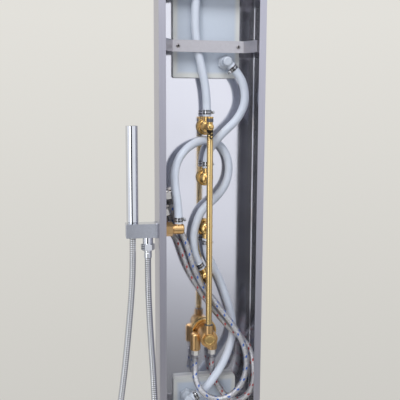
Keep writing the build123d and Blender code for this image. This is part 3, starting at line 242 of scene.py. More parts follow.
SHOWER_ROUTE = [
    (HANDSET_X, HOLDER_Y, -609.7), (HANDSET_X, HOLDER_Y, -655), (-150.5, 30, -715), (-156.5, 29, -780),
    (-163, 28, -845), (-171, 27, -910), (-181, 26, -975), (-191.5, 25, -1040), (-203, 24, -1105),
    (-211, 23.5, -1170), (-214.5, 22.5, -1235), (-214, 22, -1297), (-199.8, 20.5, -1321.8),
    (-175.2, 19, -1336), (-146.8, 17.5, -1336), (-122.2, 16, -1321.8), (-108, 14, -1297),
    (-107.5, 12.5, -1240), (-108, 11.5, -1180), (-108, 10.5, -1117), (-107.8, 10, -1052),
    (-108.5, 10.5, -985), (-110, 14, -920), (-112.5, 20.5, -855), (-116, 26, -790),
    (-118.5, 30, -725), (OUTLET_X, HOLDER_Y, -684), (OUTLET_X, HOLDER_Y, -648.8)]

# Studio and camera, in metres and radians; the focal length is in pixels of the picture's width
FLOOR_RADIUS = 1.6
KEY_PLACE, KEY_TARGET, KEY_SIZE = (-0.5, -1.3, 1.2), (0, 0.05, -0.6), (1.2, 1.2)
STRIP_PLACE, STRIP_TARGET, STRIP_SIZE = (-1.25, -1.55, -0.75), (0, 0, -0.7), (0.45, 1.7)
CAMERA_PLACE = (-0.2373, -1.1251, -0.380)
CAMERA_YAW = 0.18777
CAMERA_PITCH = 0.13484
CAMERA_ROLL = 0.00448
FOCAL_PIXELS = 616.58
PICTURE_PIXELS = 400
SENSOR_WIDTH = 36


class ColumnFinish(bpy.types.PropertyGroup):
    """Colours and sizes of the column that a user would change."""
    sheet_colour: StringProperty(
        name="Sheet", description="Colour of the folded stainless sheet", default="#e4e4ea")
    brass_colour: StringProperty(
        name="Brass", description="Colour of the bare turned brass", default="#dcbf83")
    hose_colour: StringProperty(
        name="Feed hoses", description="Colour of the white feed hoses", default="#ced5e1")
    cold_tracer: StringProperty(
        name="Cold tracer", description="Colour of the cold hose's tracer strands", default="#1551a6")
    hot_tracer: StringProperty(
        name="Hot tracer", description="Colour of the hot hose's tracer strands", default="#9c161c")
    feed_diameter: FloatProperty(
        name="Feed hose diameter", description="Outside diameter of the white hoses",
        default=0.016, unit="LENGTH")
    braid_diameter: FloatProperty(
        name="Inlet hose diameter", description="Outside diameter of the braided hoses",
        default=0.012, unit="LENGTH")
    shower_diameter: FloatProperty(
        name="Shower hose diameter", description="Outside diameter of the spiral hose",
        default=0.013, unit="LENGTH")
    rib_pitch: FloatProperty(
        name="Rib pitch", description="Distance from rib to rib along the spiral hose",
        default=0.004, unit="LENGTH")


class StudioSettings(bpy.types.PropertyGroup):
    """Floor and light of the plain studio."""
    floor_drop: FloatProperty(
        name="Floor", description="Height of the floor below the upper wall holes",
        default=-1.9, unit="LENGTH")
    key_power: FloatProperty(
        name="Key light", description="Power of the large soft light above",
        default=28, subtype="POWER")
    strip_power: FloatProperty(
        name="Strip light", description="Power of the tall soft light at the side",
        default=6, subtype="POWER")


def finish():
    """The column's finish settings."""
    return bpy.context.scene.column_finish


MATERIALS = {}


def linear(hex_colour):
    """Turns an sRGB hex colour into linear red, green, blue and alpha."""
    channels = np.array([int(hex_colour[i:i + 2], 16) for i in (1, 3, 5)]) / 255
    low = channels / 12.92
    high = ((channels + 0.055) / 1.055) ** 2.4
    return (*np.where(channels <= 0.04045, low, high), 1.0)


def wire(node, inputs):
    """Sets a node's inputs, given by name or as a row in their own order.

    Each is a value, an output, or a node whose first output in use it takes.
    """
    for key, value in inputs.items() if isinstance(inputs, dict) else enumerate(inputs):
        if isinstance(value, bpy.types.Node):
            value = next(output for output in value.outputs if output.enabled)
        if isinstance(value, bpy.types.NodeSocket):
            node.id_data.links.new(value, node.inputs[key])
        else:
            node.inputs[key].default_value = value


def add(tree, kind, inputs=(), **settings):
    """Adds a shader node with its settings and wires its inputs."""
    node = tree.nodes.new("ShaderNode" + kind)
    for key, value in settings.items():
        setattr(node, key, value)
    wire(node, inputs)
    return node


def shade(name, first_hex, second_hex, metallic, rough, noise_scale, depth_mm=0.0, stretch=(1, 1, 1)):
    """A procedural finish: noise moves its colour, its roughness and its fine relief.

    The noise has noise_scale cells in a metre, so 250 makes patches 4 mm across. The tree, the shader,
    the place on the surface in metres and the mixed colour are handed on for a finish to build on.
    """
    material = bpy.data.materials.new(name)
    material.use_nodes = True
    MATERIALS[name] = material
    tree = material.node_tree
    tree.nodes.clear()
    place = add(tree, "TexCoord").outputs["Object"]
    laid = add(tree, "Mapping", {"Vector": place, "Scale": stretch})
    noise = add(tree, "TexNoise", {"Vector": laid, "Scale": noise_scale, "Detail": 3.0})
    colour = add(tree, "Mix", {"Factor": noise, "A": linear(first_hex), "B": linear(second_hex)},
                 data_type="RGBA")
    dull = add(tree, "MapRange", (noise, 0.3, 0.7, *rough))
    shader = add(tree, "BsdfPrincipled", {"Base Color": colour, "Metallic": metallic, "Roughness": dull})
    add(tree, "OutputMaterial", (shader,))
    if depth_mm:
        wire(shader, {"Normal": add(tree, "Bump", {"Height": noise, "Distance": depth_mm * MM})})
    return tree, shader, place, colour


def shade_hollows(name, hollow_hex, *finish_values):
    """A finish that turns to another colour where the mesh's own value called hollow rises to one."""
    tree, shader, _, colour = shade(name, *finish_values)
    # In the braid, the spiral's seam, the clamp slots and the screw crosses this colour is painted shade; on
    # the inlet tails it is the sleeves' own duller steel
    hollow = add(tree, "Attribute", attribute_name="hollow").outputs["Fac"]
    mixed = add(tree, "Mix", {"Factor": hollow, "A": colour, "B": linear(hollow_hex)}, data_type="RGBA")
    wire(shader, {"Base Color": mixed})
    return tree, shader, mixed


def make_materials():
    """Makes every finish, each started from what the real surface is."""
    look = finish()
    make_tray_finish(look.sheet_colour)
    make_housing_finish()
    make_riser_finish()
    # Sheared and bent stainless strip: a warmer, duller grey than the polished tray
    shade("stainless_strip", "#c9c7cb", "#bdbbbf", 1.0, (0.30, 0.36), 260)
    # Turned bare brass: bright and yellow, with warmer patches from handling
    shade("brass_turned", look.brass_colour, "#cfa665", 1.0, (0.20, 0.28), 110)
    # Sand-cast brass: a redder skin, with its pits drawn about 2 mm apart so that they show
    shade("brass_cast", "#dcb987", "#c29a68", 1.0, (0.26, 0.36), 420, 0.008)
    # Soft solder: a dull dark grey skin at a joint
    shade("solder", "#55565a", "#7d7e82", 1.0, (0.35, 0.50), 500, 0.05)
    # Polished chrome plate: nearly a mirror
    shade("chrome_polished", "#e6e8ec", "#dadde2", 1.0, (0.04, 0.09), 40)
    # Satin chrome plate: a fine even blast that dulls the mirror
    shade("chrome_satin", "#c9ccd4", "#c0c4cc", 1.0, (0.20, 0.26), 300)
    # Wound chromed strip: bright ribs, with dark painted shade in the folded seam between them
    shade_hollows("chrome_strip", "#26262b", "#e4e6ea", "#d2d5da", 1.0, (0.10, 0.18), 120)
    # Nickel plated brass: slightly warm and a little duller than chrome
    shade("nickel_plate", "#d2cfcb", "#bab7b3", 1.0, (0.16, 0.26), 150)
    # Zinc plated steel strip: bright bands, with near-black painted shade in the punched slots
    shade_hollows("zinc_plate", "#121113", "#cfd0d3", "#9b9da2", 1.0, (0.20, 0.34), 300)
    # Plated pan-head screws: a grey head, with dark painted shade in its pressed cross
    shade_hollows("screw_steel", "#1d1a1a", "#bdbabb", "#9d9a9c", 1.0, (0.26, 0.36), 400)
    # Satin nickel tails: matt bright nuts, with duller steel on the crimped sleeves
    shade_hollows("nickel_satin", "#a3a3a8", "#f6f4f0", "#e8e5e0", 1.0, (0.42, 0.52), 200)
    # Dark plated steel crimps: a smoky sheen, darker than the nuts beside them
    shade("steel_dark", "#8d8c8e", "#6b6a6d", 1.0, (0.30, 0.42), 400, 0.01)
    # Extruded soft PVC: a smooth waxy skin with faint patches of flow
    shade("pvc_white", look.hose_colour, "#c1c9d6", 0.0, (0.34, 0.44), 55)
    # Moulded nylon: milky white with a soft sheen
    shade("nylon_white", "#bcc3cd", "#b1b9c4", 0.0, (0.28, 0.40), 350)
    # Moulded silicone rubber: soft grey, with hardly any highlight
    shade("silicone_grey", "#6e7076", "#5d5f65", 0.0, (0.50, 0.62), 500, 0.02)
    # Pressed EPDM rubber: nearly black and matt
    shade("rubber_black", "#161618", "#232326", 0.0, (0.55, 0.70), 600, 0.03)
    # Moulded acetal: creamy white with a waxy sheen
    shade("acetal_white", "#e2e0d6", "#d3d0c4", 0.0, (0.32, 0.42), 400, 0.01)
    # Painted studio floor: pale, even and matt
    shade("floor_paint", "#e9e6df", "#e3e0d9", 0.0, (0.60, 0.70), 30)
    make_braid("cold", look.cold_tracer)
    make_braid("hot", look.hot_tracer)


def make_tray_finish(sheet_hex):
    """Bright rolled stainless: nearly a mirror inside, brushed lengthways and darker outside."""
    tree, shader, place, inside = shade("stainless_rolled", sheet_hex, "#dedee4", 1.0, (0.10, 0.15), 9)
    polish = shader.inputs["Roughness"].links[0].from_socket
    at = add(tree, "SeparateXYZ", (place,)).outputs
    across = add(tree, "Math", (at["X"],), operation="ABSOLUTE")
    outer = 0.0
    for value, test, limit in ((across, "GREATER_THAN", TRAY_HALF - HALF_SHEET),
                               (at["Y"], "LESS_THAN", HALF_SHEET),
                               (at["Y"], "GREATER_THAN", TRAY_DEPTH - HALF_SHEET)):
        beyond = add(tree, "Math", (value, limit * MM), operation=test)
        outer = add(tree, "Math", (outer, beyond), operation="MAXIMUM")
    # Brush lines are about 0.1 mm apart and are drawn 2 mm apart so that they show
    drawn = add(tree, "Mapping", {"Vector": place, "Scale": (1, 1, 0.02)})
    lines = add(tree, "TexNoise", {"Vector": drawn, "Scale": 500.0, "Detail": 2.0})
    brushed = add(tree, "Mix", {"Factor": lines, "A": linear("#b3b2bd"), "B": linear("#c3c2cc")},
                  data_type="RGBA")
    # Specks of grinding dust about 1 mm across, in one cell of four
    cells = add(tree, "TexVoronoi", {"Vector": place, "Scale": 60.0}).outputs
    near = add(tree, "Math", (cells["Distance"], 0.04), operation="LESS_THAN")
    pick = add(tree, "SeparateColor", (cells["Color"],))
    some = add(tree, "Math", (pick, 0.25), operation="LESS_THAN")
    speck = add(tree, "Math", (near, some), operation="MULTIPLY")
    dusty = add(tree, "Mix", {"Factor": speck, "A": inside, "B": linear("#b0aeb0")}, data_type="RGBA")
    colour = add(tree, "Mix", {"Factor": outer, "A": dusty, "B": brushed}, data_type="RGBA")
    dull = add(tree, "MapRange", (outer, 0.0, 1.0, polish, 0.34))
    wire(shader, {"Base Color": colour, "Roughness": dull})


def make_housing_finish():
    """Moulded ABS: a bluish middle inside a lighter, creamier border, which is painted light.

    Its spark-eroded grain is finer than 0.1 mm and is drawn 1.4 mm across so that it shows.
    """
    tree, shader, place, middle = shade("abs_grey", "#c3ccd8", "#bac4d1", 0.0, (0.38, 0.50), 700, 0.01)
    at = add(tree, "SeparateXYZ", (place,)).outputs
    across = add(tree, "Math", (at["X"],), operation="ABSOLUTE")
    offsets = []
    for centre in JET_CENTRES.values():
        offset = add(tree, "Math", (at["Z"], centre * MM), operation="SUBTRACT")
        offsets.append(add(tree, "Math", (offset,), operation="ABSOLUTE"))
    along = add(tree, "Math", offsets, operation="MINIMUM")
    # The border mask carries painted light: a lighter, creamier band along each box's edges
    border = 0.0
    for value, (half, inner, outer) in zip((across, along), JET_EDGES):
        edge = add(tree, "MapRange", (value, (half - inner) * MM, (half - outer) * MM))
        border = add(tree, "Math", (border, edge), operation="MAXIMUM")
    mix = add(tree, "Mix", {"Factor": border, "A": middle, "B": linear("#cfd1cf")}, data_type="RGBA")
    wire(shader, {"Base Color": mix})


def make_riser_finish():
    """Drawn brass tube: pale with faint lengthwise streaks, and stained by flux below its top joint."""
    tree, shader, place, brass = shade("brass_drawn", "#ecd49c", "#d6b274", 1.0, (0.16, 0.26), 90,
                                       stretch=(2, 2, 0.3))
    foot, top = FLUX_STAIN_Z
    at = add(tree, "SeparateXYZ", (place,)).outputs
    near = add(tree, "MapRange", (at["Z"], foot * MM, top * MM))
    drips = add(tree, "TexNoise", {"Vector": place, "Scale": 260.0, "Detail": 2.0})
    amount = add(tree, "Math", (near, drips), operation="MULTIPLY")
    stain = add(tree, "MapRange", (amount, 0.36, 0.44))
    mix = add(tree, "Mix", {"Factor": stain, "A": brass, "B": linear("#2b2620")}, data_type="RGBA")
    wire(shader, {"Base Color": mix})


def make_braid(side, tracer_hex):
    """Braided stainless wire: pale crowns with dark painted shade in the gaps between them, and strands
    coloured by the value tracer.

    Single wires of 0.2 mm are too fine to show, so their glints are drawn about 2 mm across.
    """
    # The hollow colour here is painted shade in the gaps between the strands
    tree, shader, steel = shade_hollows(
        f"steel_braid_{side}", "#424247", "#fbfbfd", "#85858c", 1.0, (0.48, 0.60), 450)
    tracer = add(tree, "Attribute", attribute_name="tracer").outputs["Fac"]
    strand = add(tree, "Mix", {"Factor": tracer, "A": steel, "B": linear(tracer_hex)}, data_type="RGBA")
    metal = add(tree, "MapRange", (tracer, 0.0, 1.0, 1.0, 0.0))
    wire(shader, {"Base Color": strand, "Metallic": metal})


def grid_faces(rows, columns):
    """Quads of a grid of rows by columns, whose last column joins the first."""
    row = np.arange(rows - 1)[:, None] * columns
    column = np.arange(columns)[None, :]
    after = (column + 1) % columns
    corners = [row + column, row + after, row + columns + after, row + columns + column]
    return np.stack(corners, axis=-1).reshape(-1, 4)


def make_piece(name, surfaces, material, replaces=None, values=None, crease=CREASE):
    """Joins closed grids in millimetres into one mesh, with seams and poles merged and faces outward."""
    points = [s.reshape(-1, 3) for s in surfaces]
    starts = np.cumsum([0] + [len(p) for p in points[:-1]])
    faces = np.concatenate([grid_faces(*s.shape[:2]) + start for s, start in zip(surfaces, starts)])
    mesh = bpy.data.meshes.new(name)
    mesh.from_pydata((np.concatenate(points) * MM).tolist(), [], faces.tolist())
    for key, parts in (values or {}).items():
        layer = mesh.attributes.new(key, "FLOAT", "POINT")
        layer.data.foreach_set("value", np.concatenate([np.ravel(p) for p in parts]).astype(np.float32))
    work = bmesh.new()
    work.from_mesh(mesh)
    bmesh.ops.remove_doubles(work, verts=work.verts, dist=1e-7)
    bmesh.ops.recalc_face_normals(work, faces=work.faces)
    work.to_mesh(mesh)
    work.free()
    mesh.shade_smooth()
    mesh.set_sharp_from_angle(angle=math.radians(crease))
    mesh.materials.append(MATERIALS[material])
    piece = bpy.data.objects.new(name, mesh)
    bpy.context.scene.collection.objects.link(piece)
    if crease == CREASE:
        piece.modifiers.new("even_flats", "WEIGHTED_NORMAL").keep_sharp = True
    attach(piece, COLUMN)
    if replaces:
        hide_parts(replaces)
    return piece


def angles(count):
    """Angles evenly round one turn."""
    return np.linspace(0, TURN, count, endpoint=False)


def eased(profile, size):
    """Each corner of a profile becomes a short quadratic curve that starts and ends at most size from it."""
    profile = np.asarray(profile, float)
    before, corner, after = profile[:-2], profile[1:-1], profile[2:]
    back = before - corner
    ahead = after - corner
    back_run = np.linalg.norm(back, axis=1, keepdims=True)
    ahead_run = np.linalg.norm(ahead, axis=1, keepdims=True)
    reach = np.minimum(size, 0.45 * np.minimum(back_run, ahead_run))
    enter = corner + back / back_run * reach
    leave = corner + ahead / ahead_run * reach
    middle = 0.25 * enter + 0.5 * corner + 0.25 * leave
    inner = np.stack([enter, middle, leave], axis=1).reshape(-1, 2)
    return np.concatenate([profile[:1], inner, profile[-1:]])


def around(radius, height, origin, axis, first=None):
    """origin + height * axis + radius * (cos t, sin t), with a row of radii round the axis at each height.

    The angle t starts at first, or else at a side square to the axis.
    """
    axis = unit(axis)
    if first is None:
        helper = np.array(ACROSS if abs(axis[1]) > 0.9 else OUTWARD)
        first = unit(helper - helper.dot(axis) * axis)
    t = angles(radius.shape[1])[:, None]
    ring = np.cos(t) * first + np.sin(t) * np.cross(axis, first)
    return origin + height[:, None, None] * axis + radius[..., None] * ring


def lathe(profile, origin, axis, segments=64, ease=0.0):
    """A surface of revolution: one radius all round at each height of a (radius, height) profile."""
    profile = eased(profile, ease) if ease else np.asarray(profile, float)
    return around(np.repeat(profile[:, :1], segments, 1), profile[:, 1], origin, axis)


def hex_nut(origin, axis, flats, length, bore=0.0, floor=0.0, pitch=1.8, ridge=0.5, segments=96):
    """A hexagon, half its flats over the cosine of the angle from a flat, cut by 30 degree end cones.

    A bore makes it a cap nut with ridges for a thread down to floor.
    """
    turn = (angles(segments) + TURN / 12) % (TURN / 6) - TURN / 12
    face = flats / 2 * 0.97
    drop = (flats / 2 / math.cos(TURN / 12) - face) * math.tan(TURN / 12)
    low = np.linspace(0, drop, 6)
    heights = np.concatenate([[0], low, [length / 2], np.linspace(length - drop, length, 6)])
    cone = face + np.minimum(heights, length - heights)[:, None] / math.tan(TURN / 12)
    rows = np.minimum(flats / 2 / np.cos(turn), cone)
    rows[0] = 0
    if bore:
        down = np.linspace(length, floor, max(4, int((length - floor) / pitch * 4)))
        thread = bore / 2 + ridge * (np.abs((down / pitch) % 1 - 0.5) * 2 - 0.5) - ridge / 2
        heights = np.concatenate([heights, down])
        rows = np.concatenate([rows, np.repeat(thread[:, None], segments, 1)])
    heights = np.append(heights, heights[-1])
    rows = np.concatenate([rows, np.zeros((1, segments))])
    return around(rows, heights, origin, axis)


def smooth_path(points, spacing):
    """Evenly spaced points read from the smooth NURBS spline whose control points are the route's."""
    curve = bpy.data.curves.new("route", "CURVE")
    curve.dimensions = "3D"
    spline = curve.splines.new("NURBS")
    spline.points.add(len(points) - 1)
    control = np.concatenate([np.stack(points), np.ones((len(points), 1))], axis=1)
    spline.points.foreach_set("co", control.ravel())
    spline.order_u = 3
    spline.use_endpoint_u = True
    spline.resolution_u = 24
    holder = bpy.data.objects.new("route", curve)
    line = bpy.data.meshes.new_from_object(holder)
    read = np.empty(len(line.vertices) * 3)
    line.vertices.foreach_get("co", read)
    read = read.reshape(-1, 3)
    bpy.data.objects.remove(holder)
    bpy.data.curves.remove(curve)
    bpy.data.meshes.remove(line)
    run = np.concatenate([[0], np.cumsum(np.linalg.norm(np.diff(read, axis=0), axis=1))])
    even = np.linspace(0, run[-1], max(8, int(run[-1] / spacing)))
    return np.stack([np.interp(even, run, read[:, i]) for i in range(3)], axis=1), even


def tube(path, radius):
    """A skin round a path: path + radius * (cos t, sin t) on axes square to the path, closed at both ends."""
    along = np.gradient(path, axis=0)
    along /= np.linalg.norm(along, axis=1, keepdims=True)
    first = np.array(OUTWARD) - along[:, 1:2] * along
    first /= np.linalg.norm(first, axis=1, keepdims=True)
    second = np.cross(along, first)
    segments = radius.shape[1]
    t = angles(segments)[None, :, None]
    skin = path[:, None] + radius[..., None] * (np.cos(t) * first[:, None] + np.sin(t) * second[:, None])
    caps = [np.repeat(path[i][None, None], segments, 1) for i in (0, -1)]
    return np.concatenate([caps[0], skin, caps[1]])


def barb(origin, direction, shoulder, neck=7.5, spigot=5.3, length=18, taper=2):
    """A turned hose barb: a shoulder that the hose butts against, then a spigot with a tapered tip."""
    tip = shoulder + length
    outline = [(0, 0), (neck, 0), (neck, shoulder), (spigot, shoulder), (spigot, tip - taper),
               (spigot - taper, tip), (0, tip)]
    return lathe(outline, origin, direction, 48, ease=0.6)


def threaded(radius, start, end, pitch=1.8, depth=0.7):
    """A thread's outline: the radius less a triangle wave of one pitch, as (radius, height) pairs."""
    height = np.linspace(start, end, int(2 * abs(end - start) / pitch) + 1)
    ridge = radius - depth * (np.arange(len(height)) % 2)
    return list(zip(ridge, height))


def show_cad(material, *names):
    """Gives a finish to the CAD nodes that stay as they are."""
    for name in names:
        data = NODES[name].data
        data.materials.clear()
        data.materials.append(MATERIALS[material])


class DressSheet(bpy.types.Operator):
    """Finish the folded tray, the brackets and the straps."""
    bl_idname = "column.dress_sheet"
    bl_label = "Folded sheet"

    def execute(self, context):
        show_cad("stainless_rolled", "panel_tray")
        for end in JET_CENTRES:
            show_cad("stainless_strip", f"{end}_wall_bracket", f"{end}_straps")
        return {"FINISHED"}


class DressJets(bpy.types.Operator):
    """Finish the jet boxes, faces and soft nozzles."""
    bl_idname = "column.dress_jets"
    bl_label = "Body jets"

    def execute(self, context):
        for end in JET_CENTRES:
            show_cad("abs_grey", f"{end}_jet_housing")
            show_cad("chrome_polished", f"{end}_jet_face")
            show_cad("silicone_grey", f"{end}_nozzle_mat")
        return {"FINISHED"}


class MakeJetElbows(bpy.types.Operator):
    """Make the moulded elbows behind the jet boxes, with stepped flanges and hexagon nuts."""
    bl_idname = "column.make_jet_elbows"
    bl_label = "Jet elbows"

    def execute(self, context):
        nuts = []
        for side, (x, z, angle) in JET_ELBOWS.items():
            parts = [lathe(ELBOW_TURNING, (x, 0, z), OUTWARD, ease=0.5),
                     barb((x, JET_BARB_Y, z), polar(angle), JET_SHOULDER)]
            make_piece(f"{side}_jet_elbow_moulded", parts, "nylon_white",
                       f"{side}_jet_elbow")
            nuts.append(hex_nut((x, ELBOW_BACK, z), OUTWARD, *ELBOW_NUT))
        make_piece("jet_elbow_nuts_moulded", nuts, "nylon_white", "jet_elbow_nuts")
        return {"FINISHED"}


def screw_head(seat):
    """A domed head over (r, t): height * (1 - 0.75 (r / R)^4) less a tapering cross of two bars."""
    r = np.concatenate([np.linspace(0, 1, 22), [1.0, 0.0]])[:, None]
    t = angles(64)[None, :]
    x = r * np.cos(t) * SCREW_RADIUS
    z = r * np.sin(t) * SCREW_RADIUS
    arm = np.minimum(np.abs(x), np.abs(z)) / CROSS_WIDTH
    reach = np.maximum(np.abs(x), np.abs(z)) / CROSS_REACH
    # The cross mask sinks the recess and also carries its painted shade
    cross = np.clip(1.5 - arm, 0, 1) * np.clip((1 - reach) * 3, 0, 1)
    rise = SCREW_HEIGHT * (1 - 0.75 * r ** 4) - CROSS_DEPTH * cross
    rise[-2:] = -0.05
    return np.stack([seat[0] + x, seat[1] - rise, seat[2] + z], axis=-1), cross


class MakeStrapScrews(bpy.types.Operator):
    """Make the straps' pan-head screws with a cross recess."""
    bl_idname = "column.make_strap_screws"
    bl_label = "Strap screws"

    def execute(self, context):
        parts, hollows = [], []
        for centre in JET_CENTRES.values():
            for offset in STRAP_OFFSETS:
                for x in (-STRAP_SCREW_X, STRAP_SCREW_X):
                    seat = (x, STRAP_BACK, centre + offset)
                    head, cross = screw_head(seat)
                    stem = lathe(SCREW_SHANK, seat, OUTWARD, 24)
                    parts += [head, stem]
                    hollows += [cross, np.zeros(stem.shape[:2])]
        make_piece("strap_screws_cross", parts, "screw_steel", "strap_screws",
                   values={"hollow": hollows})
        return {"FINISHED"}


class MakeFeedHoses(bpy.types.Operator):
    """Make the white feed hoses, which swell a little beside each clamp."""
    bl_idname = "column.make_feed_hoses"
    bl_label = "Feed hoses"

    def execute(self, context):
        diameter = finish().feed_diameter
        for name, (length, route) in WHITE_HOSES.items():
            path, run = smooth_path(route, 2.0)
            ends = np.minimum(run, run[-1] - run)
            swell = sum(rise * np.exp(-((ends - at) / width) ** 2) for rise, at, width in CLAMP_SWELLS)
            radius = np.repeat((diameter / MM / 2 + swell)[:, None], FEED_SEGMENTS, 1)
            hose = make_piece(f"{name}_skin", [tube(path, radius)], "pvc_white", name,
                              crease=60)
        return {"FINISHED"}


def woven(run, segments, radius, strands=15, pitch=24.0, relief=0.42):
    """Two crossing families of strands, three over and three under, each crowned by half an ellipse."""
    t = np.linspace(0, 1, segments, endpoint=False)[None, :]
    left = strands * (t - run[:, None] / pitch)
    right = strands * (t + run[:, None] / pitch)
    left_over = (np.floor(left) + np.floor(right)) // 3 % 2 == 0
    across = np.where(left_over, left % 1, right % 1) - 0.5
    crown = np.sqrt(np.clip(1 - (1.9 * across) ** 2, 0, 1))
    coloured = left_over & (np.floor(left) % strands < 3)
    # One less the crown marks the gaps between the strands, which take painted shade
    return radius - relief * (1 - crown), 1 - crown, coloured * 1.0


class MakeInletHoses(bpy.types.Operator):
    """Make the braided inlet hoses with their tails, crimps and free union nuts."""
    bl_idname = "column.make_inlet_hoses"
    bl_label = "Inlet hoses"

    def execute(self, context):
        diameter = finish().braid_diameter
        flats, nut_length = INLET_NUT
        cap = np.zeros(BRAID_SEGMENTS)
        for side, (length, route) in BRAID_HOSES.items():
            middle, lean = INLET_NUTS[side]
            lean = unit(lean)
            back = middle - lean * (nut_length / 2)
            end = back - lean * (CRIMP_LENGTH - INLET_NUT_WALL)
            path, run = smooth_path(route + [end - lean * LAST_RUN, end], 0.42)
            radius, gap, tracer = woven(run, BRAID_SEGMENTS, diameter / MM / 2)
            hose = make_piece(f"{side}_inlet_hose_braid", [tube(path, radius)], f"steel_braid_{side}",
                              f"{side}_inlet_hose", crease=80,
                              values={"hollow": [cap, gap, cap], "tracer": [cap, tracer, cap]})
            nut = make_piece(f"{side}_union_nut",
                             [hex_nut(back, lean, flats, nut_length, INLET_NUT_BORE, INLET_NUT_FLOOR)],
                             "nickel_plate", f"{side}_inlet_nut")
            ferrule = make_piece(f"{side}_hose_crimp", [lathe(CRIMP_TURNING, end, lean, 48, ease=0.3)],
                                 "steel_dark", "inlet_ferrules")
        tails, hollows = [], []
        for x in INLET_X.values():
            nut = hex_nut((x, INLET_Y, INLET_END), DOWN, *TAIL_NUT)
            sleeve = lathe(TAIL_TURNING, (x, INLET_Y, INLET_END), DOWN, 48, ease=0.3)
            tails += [nut, sleeve]
            hollows += [np.zeros(nut.shape[:2]), np.ones(sleeve.shape[:2])]
        make_piece("inlet_tails_crimped", tails, "nickel_satin", "inlet_tails",
                   values={"hollow": hollows})
        return {"FINISHED"}


class MakeShowerHose(bpy.types.Operator):
    """Make the handset's hose, one metal strip wound into a ribbed spiral, with its nut and ferrule."""
    bl_idname = "column.make_shower_hose"
    bl_label = "Shower hose"

    def execute(self, context):
        diameter = finish().shower_diameter
        pitch = finish().rib_pitch / MM
        path, run = smooth_path(SHOWER_ROUTE, pitch / 6)
        t = np.linspace(0, 1, SPIRAL_SEGMENTS, endpoint=False)[None, :]
        phase = np.abs(2 * ((run[:, None] / pitch + t) % 1) - 1)
        radius = diameter / MM / 2 - RIB_INSET - RIB_DEPTH * phase ** 2
        cap = np.zeros(SPIRAL_SEGMENTS)
        # Painted shade in the folded seam between the ribs
        seam_shade = np.clip((phase - 0.55) / 0.3, 0, 1)
        hose = make_piece("shower_hose_spiral", [tube(path, radius)], "chrome_strip",
                          "shower_hose", values={"hollow": [cap, seam_shade, cap]}, crease=70)
        nut_top = (OUTLET_X, HOLDER_Y, HOSE_NUT_TOP)
        nut_foot = (OUTLET_X, HOLDER_Y, HOSE_NUT_TOP - HOSE_NUT[1])
        make_piece("hose_nut_chamfered", [hex_nut(nut_top, DOWN, *HOSE_NUT)], "chrome_polished",
                   "hose_nut")
        make_piece("hose_ferrule_grooved", [lathe(FERRULE_TURNING, nut_foot, DOWN, ease=0.5)],
                   "chrome_polished", "hose_ferrule")
        return {"FINISHED"}


def clamp_parts(end, direction, screw_side):
    """A worm-drive clamp: a band with two rows of slots, a rounded worm housing and a hexagon screw."""
    direction = unit(direction)
    screw_side = unit(screw_side)
    second = np.cross(direction, screw_side)
    middle = end + direction * CLAMP_OFFSET
    t = angles(256)
    rows = np.array(CLAMP_BAND)
    height = np.abs(rows[:, 1:2])
    slot = (((t * SLOT_COUNT / TURN) % 1 < SLOT_SHARE) & (np.cos(t) < 0.8))[None]
    # The slot mask sinks the band and also carries the slots' near-black painted shade
    cut = slot * (height > SLOT_HEIGHTS[0]) * (height < SLOT_HEIGHTS[1])
    band = around(rows[:, :1] - SLOT_DEPTH * cut, rows[:, 1], middle, direction, screw_side)
    screw = middle + screw_side * CLAMP_SCREW_RADIUS
    housing = lathe(CLAMP_HOUSING, screw, second, 40, ease=0.8)
    head = hex_nut(screw - second * CLAMP_SCREW_REACH, second, *CLAMP_HEX)
    return [band, housing, head], [cut, np.zeros(housing.shape[:2]), np.zeros(head.shape[:2])]


class MakeHoseClamps(bpy.types.Operator):
    """Make the slotted band clamps at the feed hoses' ends."""
    bl_idname = "column.make_hose_clamps"
    bl_label = "Hose clamps"

    def execute(self, context):
        places = [(OVERHEAD_START, DOWN, ACROSS), (OUTLET_BARB, UP, ACROSS)]
        for index, angle in enumerate(VALVE_ANGLES):
            places.append((VALVE_ENDS[index], polar(angle), polar(angle + 90 if index == 3 else 0)))
        for side, (_, _, angle) in JET_ELBOWS.items():
            places.append((JET_ENDS[side], polar(angle), polar(angle - 90)))
        parts, hollows = [], []
        for place in places:
            clamp, cuts = clamp_parts(*place)
            parts += clamp
            hollows += cuts
        make_piece("hose_clamps_slotted", parts, "zinc_plate", "hose_clamps",
                   values={"hollow": hollows})
        return {"FINISHED"}


class MakeRiser(bpy.types.Operator):
    """Finish the drawn brass riser and make the plug on its top and the solder at its joints."""
    bl_idname = "column.make_riser"
    bl_label = "Riser"

    def execute(self, context):
        show_cad("brass_drawn", "riser_pipe")
        top = (0, RISER_Y, RISER_PLUG_Z)
        make_piece("riser_plug", [lathe(RISER_PLUG, top, UP, 48, ease=0.6)], "brass_turned")
        joints = [lathe(PLUG_SOLDER, top, UP, 48),
                  lathe(SOLDER_FILLET, (0, RISER_Y, MIXER_Z + SOCKET_HEIGHT), UP, 48)]
        make_piece("riser_solder", joints, "solder")
        return {"FINISHED"}


class MakeStopValves(bpy.types.Operator):
    """Make the turned stop valves: stub, domed back, body and collar, with a hose barb across each."""
    bl_idname = "column.make_stop_valves"
    bl_label = "Stop valves"

    def execute(self, context):
        for index, (z, angle) in enumerate(zip(VALVE_Z, VALVE_ANGLES)):
            stub = BRANCH_STUB if index else TOP_STUB
            parts = [lathe(stub + VALVE_TURNING, (0, 0, z), OUTWARD, ease=0.8),
                     barb((0, VALVE_BARB_Y, z), polar(angle), VALVE_SHOULDER)]
            make_piece(f"stop_valve_{index + 1}_turned", parts, "brass_turned",
                       f"stop_valve_body_{index + 1}")
        show_cad("brass_turned", "stop_valve_nuts")
        show_cad("rubber_black", "panel_washers")
        show_cad("acetal_white", "stop_cartridges")
        return {"FINISHED"}


